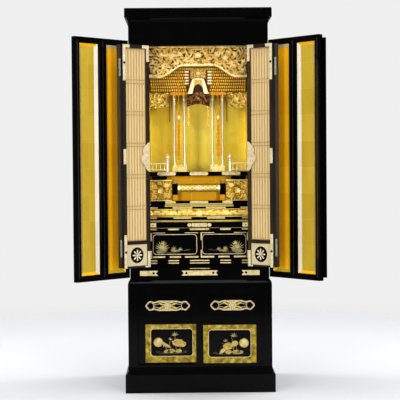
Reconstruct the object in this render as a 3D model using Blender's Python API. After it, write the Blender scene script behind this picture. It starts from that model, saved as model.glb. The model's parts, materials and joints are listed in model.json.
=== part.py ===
"""Buddhist home altar: a black lacquered cabinet with a gilt interior and folding doors.

Metres, +Z up. The front faces -Y, and the origin is the centre of the underside.
The outer doors and the inner lattice doors fold in two leaves a side, and stand open.
"""

import math

import bmesh
import bpy

# Gap kept between pieces that touch, and overlap of shapes joined into one piece
GAP = 0.0003
LAP = 0.001

# Steps that a quarter of a rounded moulding is made in
MOULDING_STEPS = 4

# Heights of the cabinet, from the floor up
PLINTH_H = 0.077
FLARE_H = 0.034
BASE_H = 0.340
STEP_H = 0.034
BODY_H = 1.031
FRIEZE_H = 0.064
COVE_H = 0.030
SLAB_H = 0.040

# Widths and depths of the cabinet
PLINTH_W = 0.645
PLINTH_D = 0.500
BASE_W = 0.619
BASE_D = 0.482
BODY_W = 0.598
BODY_D = 0.472
BACK_SETBACK = 0.005
SLAB_OVERHANG = 0.016
SLAB_CHAMFER = 0.003
BASE_TOP_EDGE = 0.012

# Board thicknesses
PLINTH_WALL = 0.022
PLINTH_BOTTOM = 0.012
BASE_SIDE_T = 0.022
BASE_FLOOR_T = 0.012
SHELF_T = 0.012
DIVIDER_T = 0.012
FRONT_FRAME_T = 0.030
BACK_T = 0.010
SIDE_T = 0.024
CROWN_T = 0.022
TOP_BOARD_T = 0.012
FLOOR_T = 0.014
CEILING_T = 0.012
JAMB_T = 0.016
LINING_T = 0.008
GILT_BACK_T = 0.006

# Sill and lintel of the upper body
SILL_H = 0.056
SILL_D = 0.0265
LINTEL_H = 0.028
LINTEL_D = 0.020

# Base front: openings for two drawers and one cupboard
BASE_STILE_W = 0.0415
CUPBOARD_SILL_H = 0.009
BASE_RAIL_H = 0.027
BASE_DRAWER_H = 0.085
BASE_HEAD_H = 0.031
MULLION_W = 0.012
SLIDE_DOOR_T = 0.010
SLIDE_OVERLAP = 0.036
TRACK_DEPTH = 0.004
TRACK_GAP = 0.002
TRACK_SETBACK = 0.004
SLIDE_STILE_W = 0.027
SLIDE_RAIL_H = 0.010
SLIDE_BORDER_W = 0.026
SLIDE_BORDER_PROUD = 0.0012
SLIDE_PANEL_RECESS = 0.003
BASE_DRAWER_PROUD = 0.0015
BASE_DRAWER_WALL = 0.008
BASE_DRAWER_BACK_GAP = 0.040

# All drawers
DRAWER_CLEARANCE = 0.001
DRAWER_FRONT_T = 0.014
DRAWER_BORDER_W = 0.010
DRAWER_FACE_RECESS = 0.0015
TRAY_SIDE_GAP = 0.002
TRAY_HEAD_GAP = 0.012
TRAY_FOOT_GAP = 0.001

# Outer doors
LEAF_T = 0.022
LEAF_STILE_W = 0.024
LEAF_RAIL_H = 0.026
LEAF_RECESS = 0.007
LEAF_FACE_RECESS = 0.003
DOOR_GAP = 0.001
HINGE_OUT = 0.001
LEAF_GAP = 0.0006
MEETING_GAP = 0.0016
DOOR_SILL_REVEAL = 0.011
DOOR_HEAD_REVEAL = 0.004
OUTER_OPEN_DEGS = {-1: 134.0, 1: 130.0}
ASTRAGAL_T = 0.007
ASTRAGAL_W = 0.028

# Inner lattice doors
SHOJI_T = 0.018
SHOJI_SETBACK = 0.004
SHOJI_STILE_W = 0.016
SHOJI_RAIL_H = 0.0145
SHOJI_MID_RAIL_H = 0.015
SHOJI_FOOT_H = 0.008
SHOJI_PANEL_H = 0.091
SHOJI_HEAD_GAP = 0.003
SHOJI_SILL_GAP = 0.005
SHOJI_OPEN_DEGS = {-1: 122.0, 1: 118.0}
SHOJI_FOLD_DEG = 160.0
ROUNDEL_D = 0.062
ROUNDEL_T = 0.002
PANEL_RECESS = 0.004
SLATS = 7
BARS = 5
SLAT_W = 0.0040
BAR_H = 0.014
SLAT_DEPTH = 0.003
GAUZE_T = 0.003

# The bay inside, between the jambs
JAMB_W = 0.058
JAMB_SETBACK = 0.0055
BAY_D = 0.318

# Stepped altar, from the sill up
CASE_H = 0.189
CASE_D = 0.260
CASE_FOOT_H = 0.036
CASE_WALL = 0.014
CASE_TOP_H = 0.041
CASE_DIVIDER = 0.008
CASE_BEAD = 0.004
CASE_LINES = 3
LOTUS_DRAWER_PROUD = 0.003
LOTUS_DRAWER_WALL = 0.006
LOTUS_DRAWER_D = 0.240
LOWER_STEP_H = 0.023
CARVED_STEP_H = 0.034
UPPER_STEP_H = 0.035
RECESS_H = 0.108
ALTAR_FLOOR_T = 0.019
LOWER_STEP_SET = 0.035
CARVED_STEP_SET = 0.050
UPPER_STEP_SET = 0.067
RECESS_SET = 0.130
ALTAR_FLOOR_SET = 0.070
STEP_BACK = 0.045
STEP_BEAD = 0.003
UPPER_STEP_COVE = 0.009
ALTAR_FLOOR_COVE = 0.006
ALTAR_FLOOR_LIP = 0.002
CARVED_STEP_RELIEF = 0.007
CARVED_STEP_WAVES = 6

# Roll rail and carved panels of the recess
ROLL_R = 0.0185
ROLL_HALF = 0.093
ROLL_Z = 0.056
ROLL_SET = 0.104
ROLL_POST_W = 0.024
ROLL_POST_H = 0.075
SIDE_PANEL_X = 0.119
SIDE_PANEL_SET = 0.084
SIDE_PANEL_T = 0.012
SIDE_PANEL_H = 0.091
SIDE_PANEL_RELIEF = 0.008

# Palace on the altar floor
COLUMN_R = 0.0055
COLUMN_XS = (0.062, 0.106)
COLUMN_SIDES = 8
PALACE_SET = 0.134
PALACE_HEAD_GAP = 0.012
PALACE_DEPTH = 0.040
ARCHITRAVE_H = 0.016
ARCHITRAVE_END = 0.018
ARCHITRAVE_OUT = 0.012
TIER_H = 0.026
TIER_TEETH = (9, 9, 11, 11)
TIER_ENDS = (0.008, 0.006, 0.004, 0.003)
TIER_OUTS = (0.020, 0.028, 0.036, 0.044)
TOOTH_DEPTH = 0.010
EAVES_H = 0.012
EAVES_OUT = 0.060
EAVES_SIDE_GAP = 0.002
ROOF_H = 0.059
ROOF_INSET = 0.006
ROOF_RIBS = 5
ROOF_RIB_DEPTH = 0.004
RIDGE_OUT = 0.004
GABLE_HALF = 0.050
GABLE_DROP = 0.048
GABLE_H = 0.124
GABLE_T = 0.010
GABLE_RISE = 0.072
GABLE_SLOPE = (0.42, 1.02)
GABLE_OUT = 0.047
GABLE_FOOT_RISE = 0.012
GABLE_RIM = 0.010
GABLE_RELIEF = 0.006
BAND_H = 0.072
BAND_T = 0.010
BAND_BEHIND = 0.010
BAND_LOBE = 0.008
BAND_RELIEF = 0.007

# Transom under the ceiling
TRANSOM_T = 0.012
TRANSOM_SET = 0.004
TRANSOM_CENTRE_H = 0.084
TRANSOM_SHOULDER_H = 0.133
TRANSOM_SHOULDER_XS = (0.064, 0.166)
TRANSOM_GROUND = 0.003
TRANSOM_RELIEF = 0.006
SWIRL_RELIEF = 0.0045
SWIRL_W = 0.062
SWIRL_H = 0.075
LEAF_RELIEF = 0.0035
LEAF_W = 0.048
LEAF_H = 0.034

# Railings and lamps
RAIL_POST_X = 0.137
RAIL_SET = 0.082
RAIL_POST_H = 0.078
RAIL_POST_R = 0.0085
RAIL_H = 0.040
RAIL_BAR_D = 0.006
RAIL_LOW_BAR_H = 0.004
RAIL_TOP_BAR_H = 0.006
BALUSTERS = 4
BALUSTER_W = 0.004
LAMP_X = 0.086
LAMP_SET = 0.088
LAMP_DROP = 0.403
LAMP_H = 0.215
LAMP_R = 0.010

# Levels
BASE_Z = PLINTH_H + FLARE_H
STEP_Z = BASE_Z + BASE_H
BODY_Z = STEP_Z + STEP_H
BODY_TOP = BODY_Z + BODY_H
TOP_Z = BODY_TOP + FRIEZE_H + COVE_H + SLAB_H
SILL_TOP = BODY_Z + SILL_H
LINTEL_Z = BODY_TOP - LINTEL_H
CASE_TOP = SILL_TOP + CASE_H
CARVED_Z = CASE_TOP + LOWER_STEP_H
UPPER_Z = CARVED_Z + CARVED_STEP_H
RECESS_Z = UPPER_Z + UPPER_STEP_H
FLOOR_Z = RECESS_Z + RECESS_H
ALTAR_Z = FLOOR_Z + ALTAR_FLOOR_T
PALACE_TOP = LINTEL_Z - PALACE_HEAD_GAP
EAVES_Z = PALACE_TOP - ROOF_H - EAVES_H
ARCHITRAVE_Z = EAVES_Z - len(TIER_TEETH) * TIER_H - ARCHITRAVE_H
CUPBOARD_Z = BASE_Z + CUPBOARD_SILL_H
DRAWER_Z = STEP_Z - BASE_HEAD_H - BASE_DRAWER_H
CUPBOARD_TOP = DRAWER_Z - BASE_RAIL_H

# Planes from front to back
BACK_Y = PLINTH_D / 2 - BACK_SETBACK
BASE_FRONT = BACK_Y - BASE_D
BODY_FRONT = BACK_Y - BODY_D
BACK_INNER = BACK_Y - BACK_T
JAMB_FRONT = BODY_FRONT + SHOJI_SETBACK + SHOJI_T + JAMB_SETBACK
BAY_FRONT = JAMB_FRONT
BAY_BACK = BAY_FRONT + BAY_D
BODY_IN = BODY_W / 2 - SIDE_T
BAY_HALF = BODY_IN - JAMB_W
BASE_IN = BASE_W / 2 - BASE_SIDE_T
BASE_OPEN = BASE_W / 2 - BASE_STILE_W
EAVES_HALF = BAY_HALF - EAVES_SIDE_GAP
ARCHITRAVE_HALF = COLUMN_XS[1] + ARCHITRAVE_END

# Materials: colour, roughness, metallic
FINISHES = {
    "lacquer": ((0.012, 0.011, 0.012), 0.16, 0.0),
    "gold_leaf": ((0.78, 0.56, 0.13), 0.34, 1.0),
    "carved_gilt": ((0.80, 0.55, 0.16), 0.38, 1.0),
    "lattice": ((0.82, 0.72, 0.50), 0.55, 0.0),
    "dark_gilt": ((0.42, 0.22, 0.06), 0.45, 0.6),
}


def clear_scene():
    for thing in list(bpy.data.objects):
        bpy.data.objects.remove(thing, do_unlink=True)


def finish(name):
    """The named finish as a Principled material, made once."""
    found = bpy.data.materials.get(name)
    if found:
        return found
    colour, roughness, metallic = FINISHES[name]
    made = bpy.data.materials.new(name)
    made.use_nodes = True
    shader = made.node_tree.nodes["Principled BSDF"]
    shader.inputs["Base Color"].default_value = (*colour, 1.0)
    shader.inputs["Roughness"].default_value = roughness
    shader.inputs["Metallic"].default_value = metallic
    return made


def solid(name, points, faces, material):
    """One closed mesh object, with its faces turned outwards."""
    mesh = bpy.data.meshes.new(name)
    mesh.from_pydata(points, [], faces)
    shape = bmesh.new()
    shape.from_mesh(mesh)
    bmesh.ops.recalc_face_normals(shape, faces=shape.faces)
    shape.to_mesh(mesh)
    shape.free()
    mesh.materials.append(finish(material))
    made = bpy.data.objects.new(name, mesh)
    bpy.context.scene.collection.objects.link(made)
    return made


def lofted(name, rings, material, looped=False):
    """A solid through rings of points; looped joins the last ring to the first in place of caps."""
    count = len(rings[0])
    points = [point for ring in rings for point in ring]
    faces = []
    pairs = list(zip(range(len(rings) - 1), range(1, len(rings))))
    if looped:
        pairs.append((len(rings) - 1, 0))
    for low, high in pairs:
        for index in range(count):
            after = (index + 1) % count
            faces.append([ring * count + place for ring, place in
                          ((low, index), (low, after), (high, after), (high, index))])
    if not looped:
        faces.append(tuple(range(count)))
        faces.append(tuple(range((len(rings) - 1) * count, len(rings) * count)))
    return solid(name, points, faces, material)


def block(name, low, high, material):
    """A box between two corners."""
    rings = [rectangle(low[0], high[0], low[1], high[1], z) for z in (low[2], high[2])]
    return lofted(name, rings, material)


def rectangle(left, right, front, back, z):
    """A level rectangle of four points."""
    return [(left, front, z), (right, front, z), (right, back, z), (left, back, z)]


def along_x(name, outline, half, material):
    """An outline of (y, z) points, run from -half to half along X."""
    rings = [[(x, y, z) for y, z in outline] for x in (-half, half)]
    return lofted(name, rings, material)


def along_y(name, outline, front, back, material):
    """An outline of (x, z) points, run from front to back."""
    rings = [[(x, y, z) for x, z in outline] for y in (front, back)]
    return lofted(name, rings, material)


def turned(name, profile, sides, centre, material):
    """A solid of revolution about Z through centre, from (radius, z) points, low to high."""
    rings = []
    for radius, z in profile:
        turns = [math.tau * side / sides for side in range(sides)]
        x, y = centre
        rings.append([(x + radius * math.cos(turn), y + radius * math.sin(turn), z) for turn in turns])
    made = lofted(name, rings, material)
    made.data.shade_smooth()
    made.data.set_sharp_from_angle(angle=math.radians(40))
    return made


def combined(target, others, operation):
    """The target after one Boolean with each of the others, which are used up."""
    for other in others:
        modifier = target.modifiers.new(operation.lower(), "BOOLEAN")
        modifier.operation = operation
        modifier.solver = "EXACT"
        modifier.object = other
    graph = bpy.context.evaluated_depsgraph_get()
    mesh = bpy.data.meshes.new_from_object(target.evaluated_get(graph))
    target.modifiers.clear()
    target.data = mesh
    for other in others:
        bpy.data.objects.remove(other, do_unlink=True)
    return target


def between(ends, limits):
    """The levels strictly between two ends, rising."""
    return sorted(level for level in ends if limits[0] < level < limits[1])


def stepped_plate(name, xs, zs, depth_of, material):
    """An upright plate of rectangular cells. depth_of(i, k) gives a cell's front and back y, or None."""
    cells = {}
    for i in range(len(xs) - 1):
        for k in range(len(zs) - 1):
            cells[i, k] = depth_of(i, k)
    levels = {}
    for (i, k), depths in cells.items():
        for corner in ((i, k), (i + 1, k), (i + 1, k + 1), (i, k + 1)):
            levels.setdefault(corner, set()).update(depths or ())
    points = []
    numbers = {}
    faces = []

    def number(corner, y):
        key = (corner, y)
        if key not in numbers:
            numbers[key] = len(points)
            points.append((xs[corner[0]], y, zs[corner[1]]))
        return numbers[key]

    def wall(one, two, first, second):
        """The upright faces along a grid edge, where just one of its two cells is solid."""
        spans = []
        if one and two:
            spans = [sorted((one[0], two[0])), sorted((one[1], two[1]))]
        elif one or two:
            spans = [one or two]
        for span in spans:
            if span[0] == span[1]:
                continue
            up = [span[0], *between(levels[first], span), span[1]]
            down = [span[1], *reversed(between(levels[second], span)), span[0]]
            faces.append([number(first, y) for y in up] + [number(second, y) for y in down])

    for (i, k), depths in cells.items():
        corners = ((i, k), (i + 1, k), (i + 1, k + 1), (i, k + 1))
        for y in depths or ():
            faces.append([number(corner, y) for corner in corners])
        wall(depths, cells.get((i - 1, k)), (i, k), (i, k + 1))
        wall(depths, cells.get((i, k - 1)), (i, k), (i + 1, k))
        if (i + 1, k) not in cells:
            wall(depths, None, (i + 1, k), (i + 1, k + 1))
        if (i, k + 1) not in cells:
            wall(depths, None, (i, k + 1), (i + 1, k + 1))
    return solid(name, points, faces, material)


def column_strips(columns, rows):
    """Grid corners round each column of a back. Only the outer columns keep the corners along their side."""
    strips = []
    for i in range(columns):
        strip = [(i, 0), (i + 1, 0)]
        if i + 1 == columns:
            strip += [(columns, j) for j in range(1, rows)]
        strip += [(i + 1, rows), (i, rows)]
        if i == 0:
            strip += [(0, j) for j in range(rows - 1, 0, -1)]
        strips.append(strip)
    return strips


def carved_board(name, columns, rows, place, height, front, thickness, material):
    """A board with a carved face. place(u, v) gives x and z, height(u, v) how far the carving stands out."""
    points = []
    numbers = {}
    for i in range(columns + 1):
        for j in range(rows + 1):
            x, z = place(i / columns, j / rows)
            numbers["face", i, j] = len(points)
            points.append((x, front - height(i / columns, j / rows), z))
            if i in (0, columns) or j in (0, rows):
                numbers["back", i, j] = len(points)
                points.append((x, front + thickness, z))
    faces = []
    for i in range(columns):
        for j in range(rows):
            corners = ((i, j), (i + 1, j), (i + 1, j + 1), (i, j + 1))
            faces.append([numbers["face", *corner] for corner in corners])
    edges = [((i, j), (i + 1, j)) for i in range(columns) for j in (0, rows)]
    edges += [((i, j), (i, j + 1)) for i in (0, columns) for j in range(rows)]
    for one, two in edges:
        corners = (("face", one), ("face", two), ("back", two), ("back", one))
        faces.append([numbers[layer, *corner] for layer, corner in corners])
    for strip in column_strips(columns, rows):
        faces.append([numbers["back", *corner] for corner in strip])
    made = solid(name, points, faces, material)
    made.data.shade_smooth()
    made.data.set_sharp_from_angle(angle=math.radians(50))
    return made


def smooth(low, high, value):
    """0 below low, 1 above high, and an easy curve between."""
    share = min(1.0, max(0.0, (value - low) / (high - low)))
    return share * share * (3.0 - 2.0 * share)


def arabesque(u, v, waves, depth, edge=0.12):
    """Height of a running scroll of leaves across a board, sinking to its edges."""
    stem = math.sin(math.tau * waves * u)
    leaf = math.cos(2.0 * math.tau * waves * u + math.pi * (v - 0.5))
    ridge = 1.0 - min(1.0, abs((v - 0.5) * 2.0 - 0.55 * stem))
    frame = smooth(0.0, edge, v) * smooth(0.0, edge, 1.0 - v)
    return depth * (0.25 + frame * (0.40 * ridge + 0.35 * leaf * leaf))


def make_plinth():
    """Plinth with a coved top, hollow, with a bottom board."""
    half = PLINTH_W / 2
    rings = [rectangle(-half, half, -PLINTH_D / 2, PLINTH_D / 2, 0.0)]
    for step in range(MOULDING_STEPS + 1):
        turn = math.pi / 2 * step / MOULDING_STEPS
        share = 1.0 - math.cos(turn)
        side = half - (PLINTH_W - BASE_W) / 2 * math.sin(turn)
        front = -PLINTH_D / 2 + (BASE_FRONT + PLINTH_D / 2) * math.sin(turn)
        back = PLINTH_D / 2 - BACK_SETBACK * math.sin(turn)
        rings.append(rectangle(-side, side, front, back, PLINTH_H + FLARE_H * share))
    inner = BASE_W / 2 - PLINTH_WALL
    for z in (BASE_Z, PLINTH_BOTTOM):
        rings.append(rectangle(-inner, inner, BASE_FRONT + PLINTH_WALL, BACK_Y - PLINTH_WALL, z))
    lofted("plinth", rings, "lacquer")


def make_base():
    """Boards of the base cabinet."""
    side_out = BASE_W / 2
    behind_frame = BASE_FRONT + FRONT_FRAME_T + GAP
    inside_back = BACK_INNER - GAP
    low = BASE_Z + GAP
    for side, word in ((-1, "left"), (1, "right")):
        xs = sorted((side * BASE_IN, side * side_out))
        block(f"base_side_{word}", (xs[0], behind_frame, low), (xs[1], inside_back, STEP_Z), "lacquer")
    block("base_back", (-side_out, BACK_INNER, low), (side_out, BACK_Y, STEP_Z), "lacquer")
    floor_half = BASE_IN - GAP
    floor_top = low + BASE_FLOOR_T
    block("base_floor", (-floor_half, behind_frame, low), (floor_half, inside_back, floor_top), "lacquer")
    shelf_top = DRAWER_Z - GAP
    shelf_low = shelf_top - SHELF_T
    post = DIVIDER_T / 2
    outline = [(-floor_half, shelf_low), (floor_half, shelf_low), (floor_half, shelf_top), (post, shelf_top)]
    outline += [(post, STEP_Z - GAP), (-post, STEP_Z - GAP), (-post, shelf_top), (-floor_half, shelf_top)]
    along_y("base_shelf", outline, behind_frame, inside_back, "lacquer")


def make_base_front():
    """Front frame of the base, with grooves for the sliding doors."""
    mullion = MULLION_W / 2
    xs = [-BASE_W / 2, -BASE_OPEN, -mullion, mullion, BASE_OPEN, BASE_W / 2]
    zs = [BASE_Z + GAP, CUPBOARD_Z, CUPBOARD_TOP, DRAWER_Z, DRAWER_Z + BASE_DRAWER_H, STEP_Z]

    def depth_of(i, k):
        cupboard = k == 1 and 1 <= i <= 3
        drawer = k == 3 and i in (1, 3)
        return None if cupboard or drawer else (BASE_FRONT, BASE_FRONT + FRONT_FRAME_T)

    frame = stepped_plate("base_front_frame", xs, zs, depth_of, "lacquer")
    cutters = []
    for track in (0, 1):
        front = track_front(track) - GAP
        back = front + SLIDE_DOOR_T + 2 * GAP
        for number, edge in enumerate((CUPBOARD_Z, CUPBOARD_TOP)):
            low = (-BASE_OPEN, front, edge - TRACK_DEPTH)
            high = (BASE_OPEN, back, edge + TRACK_DEPTH)
            cutters.append(block(f"groove_{track}_{number}", low, high, "lacquer"))
    combined(frame, cutters, "DIFFERENCE")


def track_front(track):
    """Front face of a sliding door in its track, 0 being the front one."""
    return BASE_FRONT + TRACK_SETBACK + track * (SLIDE_DOOR_T + TRACK_GAP)


def make_base_top():
    """Moulded board between the base and the upper body."""
    rings = []
    edge_top = STEP_Z + BASE_TOP_EDGE
    for z in (STEP_Z + GAP, edge_top):
        rings.append(rectangle(-BASE_W / 2, BASE_W / 2, BASE_FRONT, BACK_Y, z))
    for step in range(1, MOULDING_STEPS + 1):
        turn = math.pi / 2 * step / MOULDING_STEPS
        side = BASE_W / 2 - (BASE_W - BODY_W) / 2 * (1.0 - math.cos(turn))
        front = BASE_FRONT + (BODY_FRONT - BASE_FRONT) * (1.0 - math.cos(turn))
        z = edge_top + (STEP_H - BASE_TOP_EDGE) * math.sin(turn)
        rings.append(rectangle(-side, side, front, BACK_Y, z))
    lofted("base_top", rings, "lacquer")


def make_body():
    """Sides, back, sill and ceiling of the upper body."""
    low = BODY_Z + GAP
    inside_back = BACK_INNER - GAP
    half = BODY_IN - GAP
    for side, word in ((-1, "left"), (1, "right")):
        xs = sorted((side * BODY_IN, side * BODY_W / 2))
        block(f"body_side_{word}", (xs[0], BODY_FRONT, low), (xs[1], inside_back, BODY_TOP), "lacquer")
    block("body_back", (-BODY_W / 2, BACK_INNER, low), (BODY_W / 2, BACK_Y, BODY_TOP), "lacquer")
    sill_back = BODY_FRONT + SILL_D
    board = SILL_TOP - FLOOR_T
    outline = [(BODY_FRONT, low), (sill_back, low), (sill_back, board)]
    outline += [(inside_back, board), (inside_back, SILL_TOP), (BODY_FRONT, SILL_TOP)]
    along_x("sill", outline, half, "lacquer")
    lintel_back = BODY_FRONT + LINTEL_D
    board = LINTEL_Z + CEILING_T
    outline = [(BODY_FRONT, LINTEL_Z), (inside_back, LINTEL_Z), (inside_back, board)]
    outline += [(lintel_back, board), (lintel_back, BODY_TOP), (BODY_FRONT, BODY_TOP)]
    along_x("ceiling", outline, half, "lacquer")


def make_crown():
    """Crown moulding of frieze, cove and slab, with the top board set in it."""
    half = BODY_W / 2
    cove_z = BODY_TOP + FRIEZE_H
    rings = [rectangle(-half, half, BODY_FRONT, BACK_Y, BODY_TOP + GAP)]
    for step in range(MOULDING_STEPS + 1):
        turn = math.pi / 2 * step / MOULDING_STEPS
        out = SLAB_OVERHANG * (1.0 - math.cos(turn))
        z = cove_z + COVE_H * math.sin(turn)
        rings.append(rectangle(-half - out, half + out, BODY_FRONT - out, BACK_Y, z))
    edge = half + SLAB_OVERHANG
    front = BODY_FRONT - SLAB_OVERHANG
    for inset, z in ((0.0, TOP_Z - SLAB_CHAMFER), (SLAB_CHAMFER, TOP_Z)):
        rings.append(rectangle(-edge + inset, edge - inset, front + inset, BACK_Y, z))
    inner = half - CROWN_T
    inner_back = BACK_Y - CROWN_T
    for z in (TOP_Z, BODY_TOP + GAP):
        rings.append(rectangle(-inner, inner, BODY_FRONT + CROWN_T, inner_back, z))
    lofted("crown", rings, "lacquer", looped=True)
    low = (-inner + GAP, BODY_FRONT + CROWN_T + GAP, TOP_Z - SLAB_CHAMFER - TOP_BOARD_T)
    high = (inner - GAP, inner_back - GAP, TOP_Z - SLAB_CHAMFER)
    block("top_board", low, high, "lacquer")


def make_bay():
    """Jambs, gilt side linings and gilt back of the bay."""
    low = SILL_TOP + GAP
    high = LINTEL_Z - GAP
    for side, word in ((-1, "left"), (1, "right")):
        xs = sorted((side * BAY_HALF, side * (BODY_IN - GAP)))
        block(f"jamb_{word}", (xs[0], JAMB_FRONT, low), (xs[1], JAMB_FRONT + JAMB_T, high), "lacquer")
        xs = sorted((side * BAY_HALF, side * (BAY_HALF + LINING_T)))
        front = JAMB_FRONT + JAMB_T + GAP
        block(f"lining_{word}", (xs[0], front, low), (xs[1], BAY_BACK - GAP, high), "gold_leaf")
    half = BODY_IN - GAP
    block("gilt_back", (-half, BAY_BACK, low), (half, BAY_BACK + GILT_BACK_T, high), "gold_leaf")


def make_case():
    """Drawer case at the foot of the stepped altar, with two pockets open to the front."""
    half = BAY_HALF - GAP
    low = SILL_TOP + GAP
    sunk = BAY_FRONT + CASE_BEAD
    line_share = 0.6
    pitch = (CASE_FOOT_H - CASE_BEAD) / CASE_LINES
    outline = [(BAY_FRONT + CASE_D, low)]
    for line in range(CASE_LINES):
        z = low + pitch * line
        after = z + pitch * line_share
        outline += [(BAY_FRONT, z), (BAY_FRONT, after), (sunk, after), (sunk, z + pitch)]
    foot = low + CASE_FOOT_H - CASE_BEAD
    head = CASE_TOP - CASE_TOP_H + CASE_BEAD
    lip = CASE_TOP - CASE_TOP_H / 2
    outline += [(BAY_FRONT, foot), (BAY_FRONT, head), (sunk, head)]
    outline += [(sunk, lip), (BAY_FRONT, lip), (BAY_FRONT, CASE_TOP), (BAY_FRONT + CASE_D, CASE_TOP)]
    case = along_x("drawer_case", outline, half, "lacquer")
    cutters = []
    for side, word in ((-1, "left"), (1, "right")):
        xs = sorted((side * CASE_DIVIDER / 2, side * (half - CASE_WALL)))
        back = BAY_FRONT + CASE_D - CASE_WALL
        corner = (xs[0], BAY_FRONT - CASE_WALL, SILL_TOP + CASE_FOOT_H)
        cutters.append(block(f"pocket_{word}", corner, (xs[1], back, CASE_TOP - CASE_TOP_H), "lacquer"))
    combined(case, cutters, "DIFFERENCE")


def make_steps():
    """Lower, carved and upper steps, the recess panel and the altar floor."""
    half = BAY_HALF - GAP
    back = BAY_FRONT + CARVED_STEP_SET + STEP_BACK
    front = BAY_FRONT + LOWER_STEP_SET
    middle = CASE_TOP + LOWER_STEP_H * 0.62
    outline = [(front, CASE_TOP + GAP), (back, CASE_TOP + GAP), (back, CARVED_Z)]
    outline += [(front - STEP_BEAD, CARVED_Z), (front - STEP_BEAD, middle), (front, middle)]
    along_x("lower_step", outline, half, "lacquer")
    low = CARVED_Z + GAP
    tall = UPPER_Z - low
    carved_front = BAY_FRONT + CARVED_STEP_SET
    carved_board(
        "carved_step",
        40,
        4,
        lambda u, v: ((2 * u - 1) * half, low + v * tall),
        lambda u, v: arabesque(u, v, CARVED_STEP_WAVES, CARVED_STEP_RELIEF, 0.2),
        carved_front,
        STEP_BACK,
        "carved_gilt",
    )
    front = BAY_FRONT + UPPER_STEP_SET
    back = BAY_FRONT + RECESS_SET + LINING_T
    middle = UPPER_Z + UPPER_STEP_H / 2
    sunk = front + UPPER_STEP_COVE
    outline = [(sunk, UPPER_Z + GAP), (back, UPPER_Z + GAP), (back, RECESS_Z)]
    outline += [(front, RECESS_Z), (front, middle), (sunk, middle)]
    along_x("upper_step", outline, half, "lacquer")
    recess = BAY_FRONT + RECESS_SET
    block("recess_panel", (-half, recess, RECESS_Z + GAP), (half, recess + LINING_T, FLOOR_Z), "gold_leaf")
    front = BAY_FRONT + ALTAR_FLOOR_SET
    back = BAY_BACK - GAP
    middle = FLOOR_Z + ALTAR_FLOOR_LIP
    sunk = front + ALTAR_FLOOR_COVE
    outline = [(sunk, FLOOR_Z + GAP), (back, FLOOR_Z + GAP), (back, ALTAR_Z)]
    outline += [(front, ALTAR_Z), (front, middle), (sunk, middle)]
    along_x("altar_floor", outline, half, "lacquer")


def make_roll_rail():
    """Fluted roll between two posts, on the upper step."""
    sides = 12
    stations = 9
    waist = 0.90
    flute = 0.90
    y = BAY_FRONT + ROLL_SET
    z = RECESS_Z + ROLL_Z
    rings = []
    for station in range(stations):
        share = station / (stations - 1)
        x = (2 * share - 1) * ROLL_HALF
        swell = waist + (1.0 - waist) * abs(math.cos(1.5 * math.pi * (2 * share - 1)))
        ring = []
        for side in range(sides):
            turn = math.tau * side / sides
            radius = ROLL_R * swell * (1.0 if side % 2 else flute)
            ring.append((x, y + radius * math.cos(turn), z + radius * math.sin(turn)))
        rings.append(ring)
    roll = lofted("roll_rail", rings, "carved_gilt")
    posts = []
    for side, word in ((-1, "left"), (1, "right")):
        inner = ROLL_HALF - LAP
        xs = sorted((side * inner, side * (inner + ROLL_POST_W)))
        low = (xs[0], y - ROLL_R, RECESS_Z + GAP)
        high = (xs[1], y + ROLL_R, RECESS_Z + ROLL_POST_H)
        posts.append(block(f"post_{word}", low, high, "lacquer"))
    combined(roll, posts, "UNION")


def make_side_panels():
    """Carved panels at either end of the recess."""
    front = BAY_FRONT + SIDE_PANEL_SET
    low = RECESS_Z + GAP
    far = BAY_HALF - GAP
    for side, word in ((-1, "left"), (1, "right")):
        near_x = side * SIDE_PANEL_X

        def place(u, v):
            return near_x + (side * far - near_x) * u, low + SIDE_PANEL_H * v

        carved_board(
            f"side_panel_{word}",
            10,
            7,
            place,
            lambda u, v: arabesque(u, v, 1.5, SIDE_PANEL_RELIEF),
            front,
            SIDE_PANEL_T,
            "carved_gilt",
        )


def make_columns():
    """Four gilt columns with moulded bases and capitals."""
    y = BAY_FRONT + PALACE_SET
    low = ALTAR_Z + GAP
    high = ARCHITRAVE_Z - GAP
    rise = high - low
    profile = [
        (1.75, 0.0),
        (1.75, 0.018),
        (1.15, 0.030),
        (1.0, 0.060),
        (1.0, 0.900),
        (1.30, 0.915),
        (1.05, 0.935),
        (1.85, 0.985),
        (1.85, 1.0),
    ]
    number = 0
    for side in (-1, 1):
        for x in COLUMN_XS:
            number += 1
            shape = [(radius * COLUMN_R, low + share * rise) for radius, share in profile]
            turned(f"column_{number}", shape, COLUMN_SIDES, (side * x, y), "carved_gilt")


def toothed(half, front, back, teeth, depth):
    """Plan of a bracket tier: a bar whose front edge is a row of teeth."""
    pitch = 2 * half / (2 * teeth - 1)
    outline = [(-half, back), (half, back)]
    for tooth in range(teeth):
        right = half - 2 * tooth * pitch
        left = right - pitch
        if tooth:
            outline.append((right, front + depth))
        outline += [(right, front), (left, front)]
        if tooth + 1 < teeth:
            outline.append((left, front + depth))
    return outline


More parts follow.
